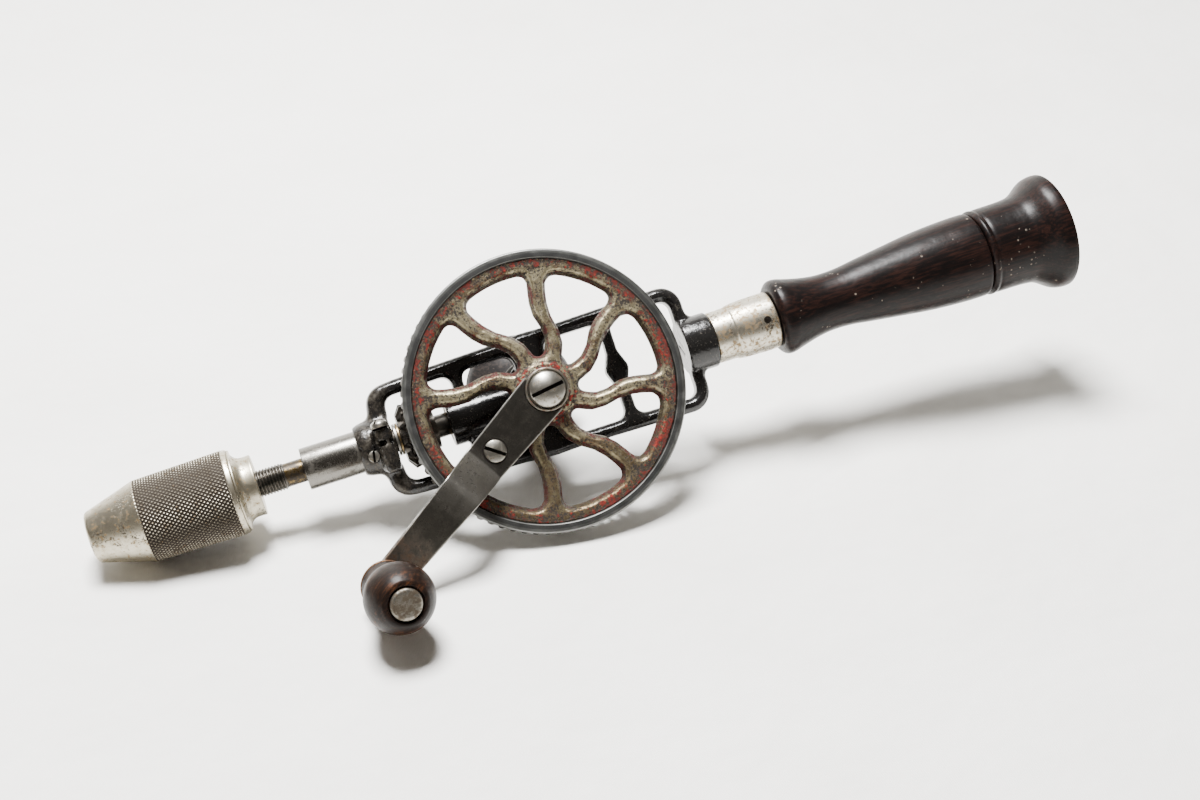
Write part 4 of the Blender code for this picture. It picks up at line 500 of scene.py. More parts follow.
# --------------------------------------------------------------------------------------
# Shader sums
# --------------------------------------------------------------------------------------
class Value:
    """A socket that can stand in a sum. Each operator adds one Math node."""

    def __init__(self, coat: "Coat", socket: bpy.types.NodeSocket) -> None:
        """Keep the node tree and the socket."""
        self.coat = coat
        self.socket = socket

    def _do(self, operation: str, *values: "Value | float") -> "Value":
        """Add a Math node on these values."""
        return self.coat.node("ShaderNodeMath", {"operation": operation},
                              dict(enumerate(values)))

    def __add__(self, other: "Value | float") -> "Value":
        """Sum."""
        return self._do("ADD", self, other)

    def __sub__(self, other: "Value | float") -> "Value":
        """Difference."""
        return self._do("SUBTRACT", self, other)

    def __rsub__(self, other: float) -> "Value":
        """Difference from a number."""
        return self._do("SUBTRACT", other, self)

    def __mul__(self, other: "Value | float") -> "Value":
        """Product."""
        return self._do("MULTIPLY", self, other)

    def __pow__(self, other: "Value | float") -> "Value":
        """Power."""
        return self._do("POWER", self, other)

    def __abs__(self) -> "Value":
        """Size without sign."""
        return self._do("ABSOLUTE", self)

    __radd__ = __add__
    __rmul__ = __mul__

    def most(self, other: "Value | float") -> "Value":
        """The larger of two."""
        return self._do("MAXIMUM", self, other)

    def root(self) -> "Value":
        """Square root."""
        return self._do("SQRT", self)

    def wave(self) -> "Value":
        """Sine."""
        return self._do("SINE", self)

    def rise(self, low: float, high: float) -> "Value":
        """Step smoothly from 0 to 1, or from 1 to 0 where low is above high.

        Args:
            low: Value at which the result is 0.
            high: Value at which it is 1.

        Returns:
            The step.
        """
        if low > high:
            return 1 - self.rise(high, low)
        return self.coat.node("ShaderNodeMapRange", {"interpolation_type": "SMOOTHSTEP"},
                              {"Value": self, "From Min": low, "From Max": high})


Colour = tuple[float, float, float]


class Coat:
    """The node tree of one finish, with its Principled shader."""

    def __init__(self, name: str, lines: Lines, **fixed: float) -> None:
        """Start a finish.

        Args:
            name: Material name.
            lines: Lines whose millimetres its patterns are measured in.
            **fixed: Shader sockets that are the same all over, such as Metallic.
        """
        self.material = bpy.data.materials.new(name)
        self.material.use_nodes = True
        self.tree = self.material.node_tree
        self.shader = self.tree.nodes["Principled BSDF"]
        for socket, value in fixed.items():
            self.shader.inputs[socket.replace("_", " ")].default_value = value
        place = self.tree.nodes.new("ShaderNodeTexCoord").outputs["Object"]
        self.place = self.node("ShaderNodeMapping", {"vector_type": "TEXTURE"}, {
            "Vector": Value(self, place), "Location": tuple(lines.origin),
            "Rotation": lines.turned(), "Scale": (MM, MM, MM)})

    def node(self, kind: str, settings: dict[str, object],
             sockets: dict[str | int, object], output: int = 0) -> Value:
        """Add a node.

        Args:
            kind: Blender's name of the node type.
            settings: Attributes that are set first, such as a Math node's operation.
            sockets: Values or links by socket name or number.
            output: Number of the output that is returned.

        Returns:
            The output.
        """
        node = self.tree.nodes.new(kind)
        for name, setting in settings.items():
            setattr(node, name, setting)
        for name, value in sockets.items():
            if isinstance(value, Value):
                self.tree.links.new(value.socket, node.inputs[name])
            else:
                node.inputs[name].default_value = value
        return Value(self, node.outputs[output])

    def axes(self) -> tuple[Value, Value, Value]:
        """The place's three coordinates, in millimetres."""
        parts = self.node("ShaderNodeSeparateXYZ", {}, {"Vector": self.place})
        return tuple(Value(self, parts.socket.node.outputs[i]) for i in range(3))

    def point(self, x: "Value | float", y: "Value | float", z: "Value | float") -> Value:
        """A place from three numbers."""
        return self.node("ShaderNodeCombineXYZ", {}, {0: x, 1: y, 2: z})

    def stretched(self, x: float, y: float, z: float) -> Value:
        """The place with each direction multiplied."""
        return self.node("ShaderNodeVectorMath", {"operation": "MULTIPLY"},
                         {0: self.place, 1: (x, y, z)})

    def cloud(self, size: float, detail: float = 4.0, rough: float = 0.55,
              at: Value | None = None, twist: float = 0.0) -> Value:
        """Noise around 0.5 with spots of about `size` millimetres.

        Args:
            size: Size of the largest spots.
            detail: How many finer layers are laid over them.
            rough: How strong the finer layers are.
            at: Where the noise is read, in millimetres; the place itself unless given.
            twist: How far the noise bends itself.

        Returns:
            The noise.
        """
        return self.node("ShaderNodeTexNoise", {}, {
            "Vector": at or self.place, "Scale": 1 / size, "Detail": detail,
            "Roughness": rough, "Distortion": twist})

    def grains(self, size: float) -> Value:
        """Distance to the nearest of scattered points about `size` apart, as a share of it."""
        return self.node("ShaderNodeTexVoronoi", {}, {
            "Vector": self.place, "Scale": 1 / size, "Randomness": 1.0})

    def mark(self, name: str) -> Value:
        """A value that the mesh carries by point."""
        return self.node("ShaderNodeAttribute", {"attribute_name": name}, {}, output=2)

    def mix(self, share: "Value | float", first: "Value | Colour",
            second: "Value | Colour") -> Value:
        """Mix two colours.

        Args:
            share: Share of the second.
            first: Colour at a share of 0.
            second: Colour at a share of 1.

        Returns:
            The colour.
        """
        pair = [(*c, 1.0) if isinstance(c, tuple) else c for c in (first, second)]
        return self.node("ShaderNodeMix", {"data_type": "RGBA"},
                         {0: share, 6: pair[0], 7: pair[1]}, output=2)

    def done(self, colour: Value, rough: "Value | float", height: Value | None = None,
             metal: Value | None = None, gloss: Value | None = None) -> bpy.types.Material:
        """Join the finish to the shader.

        Args:
            colour: Base colour.
            rough: Roughness.
            height: Relief in millimetres.
            metal: How metallic it is.
            gloss: Weight of the clear coat.

        Returns:
            The finished material.
        """
        feeds = {"Base Color": colour, "Roughness": rough, "Metallic": metal,
                 "Coat Weight": gloss}
        if height is not None:
            feeds["Normal"] = self.node("ShaderNodeBump", {}, {
                "Height": height, "Distance": MM, "Strength": 1.0})
        for name, value in feeds.items():
            if isinstance(value, Value):
                self.tree.links.new(value.socket, self.shader.inputs[name])
            elif value is not None:
                self.shader.inputs[name].default_value = value
        return self.material


# --------------------------------------------------------------------------------------
# Finishes
# --------------------------------------------------------------------------------------
@dataclass(frozen=True)
class Enamel:
    """Glossy black enamel over cast iron, worn brown at the front boss and on proud edges."""

    black: Colour = (0.008, 0.0075, 0.0072)
    brown: Colour = (0.034, 0.027, 0.020)
    bare: Colour = (0.092, 0.084, 0.070)
    dusty: Colour = (0.14, 0.125, 0.10)
    worn_to: float = -60.0

    def coat(self, lines: Lines, crests: bool) -> bpy.types.Material:
        """Build the finish, with wear on crests where the mesh carries them.

        Args:
            lines: Lines that its patterns follow.
            crests: Whether the mesh carries its crests.

        Returns:
            The finished material.
        """
        c = Coat("black_enamel", lines, Coat_Roughness=0.1, Specular_IOR_Level=0.3)
        x, _, _ = c.axes()
        patches = c.cloud(3.5, 6.0, 0.65)
        fine = c.cloud(1.1, 4.0, 0.65)
        front = (x + patches * 16 - 8).rise(self.worn_to + 5, self.worn_to - 5)
        chips = (patches + fine * 0.5).rise(0.95, 1.01)
        worn = chips * 0.6
        if crests:
            proud = c.mark("crest").rise(0.07, 0.16)
            worn = worn.most(proud * (patches + fine * 0.5).rise(0.80, 0.90) * 0.8)
        worn = worn.most(front * (patches + fine * 0.3).rise(0.50, 0.85))
        steel = c.mix((fine * 0.7 + patches).rise(0.80, 1.15), self.brown, self.bare)
        dust = (c.cloud(0.9, 3.0, 0.6) + patches * 0.3).rise(0.76, 0.84) * 0.3
        colour = c.mix(worn, c.mix(dust, self.black, self.dusty), steel)
        rough = 0.15 + patches * 0.12 + worn * 0.22 + dust * 0.4
        height = c.cloud(2.4, 3.0, 0.5) * 0.22 + fine * 0.03 - worn * 0.04
        return c.done(colour, rough, height, metal=worn * 0.7, gloss=(1 - worn) * 0.18)


@dataclass(frozen=True)
class WheelIron:
    """Cast web: silvery olive skin with dark specks, and red paint left where hands don't wear it.

    The paint stays on the band inside the ring, in corners, on walls, round the hub and on the
    spokes' sides. Corners and walls are painted darker, and the web is darker, more olive and
    rustier towards its bottom. Pairs give where a zone starts and where it is in full.
    """

    silver: Colour = (0.320, 0.278, 0.178)
    olive: Colour = (0.098, 0.077, 0.040)
    rusty: Colour = (0.080, 0.040, 0.022)
    dark: Colour = (0.016, 0.012, 0.009)
    red: Colour = (0.052, 0.0060, 0.0042)
    fresh: Colour = (0.225, 0.0110, 0.0040)
    band: tuple[float, float] = (48.4, 50.2)
    seam: tuple[float, float] = (51.0, 53.0)
    hub: tuple[float, float] = (14.5, 10.5)
    lower_side: tuple[float, float] = (-6.0, -40.0)
    face_y: float = -18.75

    def coat(self, lines: Lines) -> bpy.types.Material:
        """Build the finish; it reads the web's crests and crowns.

        Args:
            lines: Lines that its patterns follow.

        Returns:
            The finished material.
        """
        c = Coat("worn_wheel", lines, Specular_IOR_Level=0.25)
        x, y, z = c.axes()
        radius = (x * x + z * z).root()
        crests = c.mark("crest")
        broad = c.cloud(9.0, 5.0, 0.6)
        clumps = c.cloud(4.2, 5.0, 0.65)
        fine = c.cloud(1.3, 4.0, 0.7)
        specks = c.cloud(0.9, 3.0, 0.75)
        band = radius.rise(*self.band) + radius.rise(*self.seam) * 0.35
        low = crests.rise(0.01, -0.05)
        wall = (y - self.face_y).rise(0.1, 1.1)
        hub = radius.rise(*self.hub)
        rim_side = c.mark("crown").rise(0.80, 0.50)
        keep = (band * 0.36).most(low * 0.34).most(wall * 0.42).most(hub * 0.38).most(
            rim_side * 0.26)
        red = keep + (broad - 0.5) * 0.8 + (clumps - 0.5) * 1.7 + (fine - 0.5) * 1.5
        red = red.rise(0.43, 0.50)
        skin = c.mix((clumps * 0.6 + fine * 0.9 + rim_side * 0.3).rise(0.62, 0.98), self.silver,
                     self.olive)
        # The web is painted darker, more olive and rustier towards its bottom.
        lower_tone = (z + broad * 30 - 15).rise(*self.lower_side)
        rust = (broad * 0.6 + clumps * 0.8 + band * 0.16 + lower_tone * 0.16).rise(0.64, 0.90)
        skin = c.mix(rust * 0.8, skin, self.rusty)
        skin = c.mix(lower_tone * 0.55, skin, self.olive)
        pits = (specks + (clumps - 0.5) * 0.45 - crests * 0.4 + band * 0.03).rise(0.46, 0.54)
        # Concave corners and the window walls are painted darker, and the paint on the walls a
        # darker red.
        grime = (low * 0.5 + wall * 0.5 + (fine - 0.5)).rise(0.30, 0.62)
        paint = c.mix((fine + clumps * 0.5).rise(0.66, 0.94) * (1 - wall * 0.7), self.red,
                      self.fresh)
        colour = c.mix(red, skin, paint)
        colour = c.mix((pits * (1 - red * 0.4)).most(grime * 0.6), colour, self.dark)
        rough = 0.27 + fine * 0.22 + red * 0.30 + pits * 0.2
        height = fine * 0.16 + c.cloud(2.4, 3.0, 0.5) * 0.22 + red * 0.03 - pits * 0.10
        metal = (1 - red) * (1 - pits) * 0.85
        return c.done(colour, rough, height, metal=metal)


@dataclass(frozen=True)
class RimSteel:
    """Machined ring with fine turning lines and oily teeth.

    Its lip edges are painted lighter as highlights, and a seam deep in its groove is painted
    darker. Pairs give where a zone starts and where it is in full, as a radius or as y.
    """

    bright: Colour = (0.095, 0.097, 0.096)
    stained: Colour = (0.042, 0.040, 0.037)
    oily: Colour = (0.085, 0.074, 0.058)
    painted_sheen: Colour = (0.19, 0.19, 0.18)
    groove_dark: Colour = (0.020, 0.018, 0.015)
    teeth_y: tuple[float, float] = (-15.4, -13.6)
    outer_lip: tuple[float, float] = (55.3, 55.7)
    lip_y: tuple[float, float] = (-18.7, -19.3)
    inner_lip: tuple[float, float] = (54.0, 53.8)
    seam: tuple[float, float] = (53.75, 53.55)
    seam_y: tuple[float, float] = (-14.5, -16.0)

    def coat(self, lines: Lines) -> bpy.types.Material:
        """Build the finish.

        Args:
            lines: Lines that its patterns follow.

        Returns:
            The finished material.
        """
        c = Coat("rim_steel", lines)
        x, y, z = c.axes()
        radius = (x * x + z * z).root()
        lathe = c.cloud(0.12, 2.0, 0.6, at=c.point(radius, y, 0.0))
        blots = c.cloud(5.0, 6.0, 0.65)
        fine = c.cloud(0.5, 3.0, 0.6)
        teeth = y.rise(*self.teeth_y)
        stain = (blots + fine * 0.4).rise(0.62, 0.86)
        colour = c.mix(stain * 0.8, self.bright, self.stained)
        colour = c.mix(teeth * (0.55 + blots * 0.5), colour, self.oily)
        # Painted highlight: the ring's outer and inner lip edges are painted lighter.
        lip = radius.rise(*self.outer_lip) * y.rise(*self.lip_y)
        lip = lip.most(radius.rise(*self.inner_lip))
        colour = c.mix(lip * (0.3 + blots * 0.4), colour, self.painted_sheen)
        # The deep part of the groove between ring and web is painted darker.
        seam = radius.rise(*self.seam) * y.rise(*self.seam_y)
        colour = c.mix(seam * 0.9, colour, self.groove_dark)
        rough = 0.34 + lathe * 0.10 + stain * 0.12 + teeth * 0.08
        height = lathe * 0.012 + fine * 0.006
        return c.done(colour, rough, height, metal=1 - stain * 0.25)


@dataclass(frozen=True)
class ArmSteel:
    """Dark crank steel, brushed lengthwise and brown near the knob.

    Its bend and its edges are painted bright as reflections of the light. The arm's half width
    at distance x is butt_half - taper * x. Pairs give where a zone starts and where it is in full.
    """

    grey: Colour = (0.064, 0.060, 0.053)
    pale: Colour = (0.112, 0.105, 0.090)
    painted_sheen: Colour = (0.330, 0.316, 0.290)
    brown: Colour = (0.055, 0.029, 0.014)
    spot: Colour = (0.025, 0.020, 0.015)
    shadow: Colour = (0.010, 0.008, 0.006)
    bend: float = 46.0
    pale_from: tuple[float, float] = (44.0, 52.0)
    brown_from: tuple[float, float] = (80.0, 98.0)
    screw: float = 32.1
    screw_radius: float = 4.7
    butt_half: float = 9.76
    taper: float = 0.0304

    def coat(self, lines: Lines) -> bpy.types.Material:
        """Build the finish; x runs along the arm.

        Args:
            lines: Lines that its patterns follow.

        Returns:
            The finished material.
        """
        c = Coat("dark_steel", lines)
        x, _, z = c.axes()
        brush = c.cloud(0.22, 3.0, 0.6, at=c.stretched(0.06, 1.0, 1.0))
        blots = c.cloud(4.0, 6.0, 0.65)
        fine = c.cloud(0.6, 4.0, 0.65)
        past = x - self.bend
        # Painted reflections: the bend and thin lines along both long edges are painted bright.
        bend = past.rise(-8.5, -6.5) * past.rise(30.0, -2.0)
        bend_sheen = (bend * 0.80 + (blots - 0.5) * 0.5).rise(0.10, 1.0)
        edge = (abs(z) + x * self.taper - self.butt_half).rise(-0.9, -0.15)
        edge = edge * (fine + 0.25).rise(0.45, 0.7) * 0.8
        far = (x + blots * 16).rise(*self.brown_from)
        rust = far * (blots + fine * 0.4).rise(0.42, 0.76)
        pale = (fine * 0.6 + blots * 0.8).rise(0.5, 0.95) * 0.6 + x.rise(*self.pale_from) * 0.4
        colour = c.mix(bend_sheen.most(edge), c.mix(pale, self.grey, self.pale), self.painted_sheen)
        colour = c.mix(rust, colour, self.brown)
        spots = (c.cloud(1.3, 5.0, 0.7) + blots * 0.5).rise(0.80, 0.92)
        colour = c.mix(spots * 0.75, colour, self.spot)
        gap = ((x - self.screw) ** 2 + z * z).root() - self.screw_radius
        seat = gap.rise(0.70, 0.40)
        colour = c.mix(seat, colour, self.shadow)
        rough = 0.26 + brush * 0.18 + rust * 0.25 + spots * 0.15 - bend_sheen * 0.05
        height = brush * 0.012 + fine * 0.015 - spots * 0.02
        return c.done(colour, rough, height, metal=1 - rust * 0.45 - seat * 0.5)


@dataclass(frozen=True)
class Steel:
    """Plain worn metal.

    Attributes:
        name: Material name.
        colour: Colour of the clean metal.
        stain: Colour of its stains.
        rough: Roughness of the clean metal.
        stained: How much of it is stained.
        blot: Size of the stains.
        pitted: How dark its pits are.
        slotted: Whether the mesh marks a slot, whose floor is painted dark as shade.
        pit: Colour of the pits.
        grime: Colour of the painted shade on a slot's floor.
    """

    name: str
    colour: Colour
    stain: Colour
    rough: float = 0.28
    stained: float = 0.5
    blot: float = 2.2
    pitted: float = 0.6
    slotted: bool = False
    pit: Colour = (0.03, 0.024, 0.018)
    grime: Colour = (0.012, 0.010, 0.008)

    def coat(self, lines: Lines) -> bpy.types.Material:
        """Build the finish.

        Args:
            lines: Lines that its patterns follow.

        Returns:
            The finished material.
        """
        c = Coat(self.name, lines)
        blots = c.cloud(self.blot, 6.0, 0.65)
        fine = c.cloud(0.9, 4.0, 0.65)
        scratch = c.cloud(0.16, 3.0, 0.6, at=c.stretched(1.0, 0.35, 0.12))
        more = self.stained * 0.35
        stain = (blots + fine * 0.5).rise(0.95 - more, 1.15 - more)
        pits = (c.cloud(0.8, 4.0, 0.7) + blots * 0.4).rise(0.80, 0.88)
        colour = c.mix(stain, self.colour, self.stain)
        colour = c.mix(pits * self.pitted, colour, self.pit)
        # Painted shade: a slot's floor is painted dark.
        if self.slotted:
            colour = c.mix(c.mark("grime").rise(0.2, 0.8), colour, self.grime)
        rough = self.rough + scratch * 0.14 + stain * 0.18 + pits * 0.1
        height = scratch * 0.003 + fine * 0.004 - pits * 0.010
        return c.done(colour, rough, height, metal=1 - stain * 0.35)


@dataclass(frozen=True)
class Nickel:
    """Satin nickel plate with yellow-brown spots, pinholes and soft turning lines."""

    name: str = "worn_nickel"
    plate: Colour = (0.425, 0.390, 0.305)
    hazy: Colour = (0.245, 0.215, 0.150)
    warm: Colour = (0.165, 0.090, 0.022)
    pit_and_groove_dark: Colour = (0.030, 0.023, 0.017)
    knurled: bool = False
    spotted: float = 0.35

    def coat(self, lines: Lines) -> bpy.types.Material:
        """Build the finish; a knurled one reads the mesh's relief.

        Args:
            lines: Lines that its patterns follow.

        Returns:
            The finished material.
        """
        c = Coat(self.name, lines, Specular_IOR_Level=0.2)
        x, _, _ = c.axes()
        blots = c.cloud(4.5, 6.0, 0.65)
        fine = c.cloud(1.0, 5.0, 0.7)
        turning = c.cloud(0.5, 3.0, 0.6, at=c.point(x, 0.0, 0.0))
        haze = (blots + fine * 0.4).rise(0.55, 0.95) * 0.7
        more, finer = self.spotted * 0.10, self.spotted * 0.05
        spots = (c.cloud(1.4, 4.0, 0.65) + blots * 0.5).rise(0.88 - more, 0.91 - more)
        pin = c.cloud(0.8, 4.0, 0.7) + (c.cloud(8.0) - 0.5) * 0.7
        pin = pin.rise(0.66 - finer, 0.70 - finer)
        colour = c.mix(haze, self.plate, self.hazy)
        colour = c.mix(spots * 0.70, colour, self.warm)
        colour = c.mix(pin * 0.9, colour, self.pit_and_groove_dark)
        rough = 0.27 + haze * 0.18 + fine * 0.10 + spots * 0.12
        height = turning * 0.008 + fine * 0.010 - pin * 0.015
        metal = 1 - spots * 0.35 - pin * 0.4
        if self.knurled:
            # The knurl's valleys are painted dark, rougher and less metallic.
            deep = c.mark("relief").rise(1.0, 0.50)
            colour = c.mix(deep, colour, self.pit_and_groove_dark)
            rough = rough + deep * 0.4
            metal = metal - deep * 0.9
        return c.done(colour, rough, height, metal=metal)


@dataclass(frozen=True)
class Wood:
    """Turned hardwood under a worn polish, its grain along x of the lines.

    Attributes:
        name: Material name.
        dark: Colour of the dark grain.
        light: Colour of the light grain.
        patch: Colour where the polish is worn off.
        patches: Share that is worn.
        rough: Roughness of the polish.
        gloss: Weight of the polish.
        nicks: How many nicks it has.
        pore: Colour of the pores.
        nick: Colour of the nicks.
    """

    name: str
    dark: Colour
    light: Colour
    patch: Colour
    patches: float = 0.3
    rough: float = 0.24
    gloss: float = 0.45
    nicks: float = 0.5
    pore: Colour = (0.006, 0.004, 0.003)
    nick: Colour = (0.30, 0.25, 0.20)

    def coat(self, lines: Lines) -> bpy.types.Material:
        """Build the finish.

        Args:
            lines: Lines that its patterns follow.

        Returns:
            The finished material.
        """
        c = Coat(self.name, lines, Coat_Roughness=0.2, Specular_IOR_Level=0.12)
        grain = c.cloud(0.9, 5.0, 0.62, at=c.stretched(0.055, 1.0, 1.0), twist=0.25)
        pores = c.cloud(0.16, 3.0, 0.6, at=c.stretched(0.05, 1.0, 1.0))
        broad = c.cloud(7.0, 5.0, 0.6, at=c.stretched(0.35, 1.0, 1.0))
        fine = c.cloud(0.5, 4.0, 0.65)
        colour = c.mix((grain + (broad - 0.5) * 0.6).rise(0.42, 0.68), self.dark, self.light)
        worn = (broad + grain * 0.3 + fine * 0.2).rise(1.02 - self.patches * 0.4,
                                                       1.16 - self.patches * 0.3)
        colour = c.mix(worn, colour, self.patch)
        pore = pores.rise(0.66, 0.74)
        colour = c.mix(pore * 0.6, colour, self.pore)
        more = self.nicks * 0.12
        nick = (c.grains(2.6) + (fine - 0.5) * 0.25).rise(0.22, 0.12)
        nick = nick * (c.cloud(11.0, 2.0) + fine * 0.3).rise(0.82 - more, 0.86 - more)
        colour = c.mix(nick * 0.45, colour, self.nick)
        dent = c.cloud(5.0, 3.0, 0.5).rise(0.30, 0.62)
        rough = self.rough + fine * 0.12 + worn * 0.08 + nick * 0.3
        height = dent * 0.05 - pore * 0.012 + grain * 0.012 - nick * 0.05
        return c.done(colour, rough, height, gloss=(1 - nick) * self.gloss)


@dataclass(frozen=True)
class Cloth:
    """Pale warm bench cloth with a faint weave and a few crumbs."""

    pale: Colour = (0.860, 0.848, 0.815)
    shade: Colour = (0.800, 0.782, 0.742)
    crumb: Colour = (0.45, 0.37, 0.25)
    threads: float = 9.0

    def coat(self, lines: Lines) -> bpy.types.Material:
        """Build the finish.

        Args:
            lines: Lines that its patterns follow.

        Returns:
            The finished material.
        """
        c = Coat("bench_cloth", lines, Specular_IOR_Level=0.15)
        x, y, _ = c.axes()
        swells = c.cloud(90.0, 4.0, 0.5)
        weave = (x * self.threads).wave() * (y * self.threads).wave()
        fleck = (c.cloud(1.6, 4.0, 0.7) + swells * 0.2).rise(0.86, 0.90)
        colour = c.mix(swells.rise(0.35, 0.75) * 0.6, self.pale, self.shade)
        colour = c.mix(fleck * 0.5, colour, self.crumb)
        height = weave * 0.03 + c.cloud(0.9, 3.0, 0.6) * 0.05 + swells * 6.0
        return c.done(colour, 0.85, height)


# --------------------------------------------------------------------------------------
# Sub-assemblies
# --------------------------------------------------------------------------------------
@dataclass
class Rack:
    """The lines and finishes that all sub-assemblies share.

    Attributes:
        drill: The drill's own lines.
        crank: Lines whose x follows the crank arm.
        knob: Lines of the leaning crank knob.
        side: Lines of the side knob.
        nodes: CAD nodes by name.
        nickel: Plating of the chuck's body.
        bright: Bright steel of small plain parts.
        slotted: Steel of the slotted screws.
        dark: Dark steel of parts that hardly show.
        black: Black steel of the shaft and the pinion.
        brass: Metal of the bush and the brass washer.
        enamel: The frame's enamel, on pieces without crests.
        pitch: Dark disc round the ferrule's pin, painted as the shade of its hole.
    """

    drill: Lines
    crank: Lines
    knob: Lines
    side: Lines
    nodes: dict[str, bpy.types.Object]
    nickel: bpy.types.Material = field(init=False)
    bright: bpy.types.Material = field(init=False)
    slotted: bpy.types.Material = field(init=False)
    dark: bpy.types.Material = field(init=False)
    black: bpy.types.Material = field(init=False)
    brass: bpy.types.Material = field(init=False)
    enamel: bpy.types.Material = field(init=False)
    pitch: bpy.types.Material = field(init=False)

    def __post_init__(self) -> None:
        """Mix the finishes."""
        self.nickel = Nickel().coat(self.drill)
        self.bright = Steel("bright_steel", (0.30, 0.29, 0.265), (0.11, 0.09, 0.062),
                            stained=0.55).coat(self.drill)
        self.slotted = Steel("slotted_steel", (0.34, 0.325, 0.29), (0.14, 0.115, 0.08), rough=0.24,
                             stained=0.6, slotted=True).coat(self.drill)
        self.dark = Steel("plain_dark_steel", (0.11, 0.104, 0.094), (0.05, 0.036, 0.025),
                          rough=0.33, stained=0.6).coat(self.drill)
        self.black = Steel("black_steel", (0.085, 0.078, 0.068), (0.045, 0.034, 0.024),
                           rough=0.26, stained=0.5).coat(self.drill)
        self.brass = Steel("bronze", (0.20, 0.145, 0.075), (0.075, 0.052, 0.030),
                           stained=0.6).coat(self.drill)
        self.enamel = Enamel().coat(self.drill, False)
        self.pitch = Steel("dark_grease", (0.022, 0.018, 0.014), (0.010, 0.008, 0.006), rough=0.4,
                           stained=0.6).coat(self.drill)

    def dress(self, node: str, material: bpy.types.Material) -> None:
        """Give a CAD node that stays a better finish."""
        self.nodes[node].material_slots[0].material = material
        logger.info("%s: CAD node kept, finish %s", node, material.name)


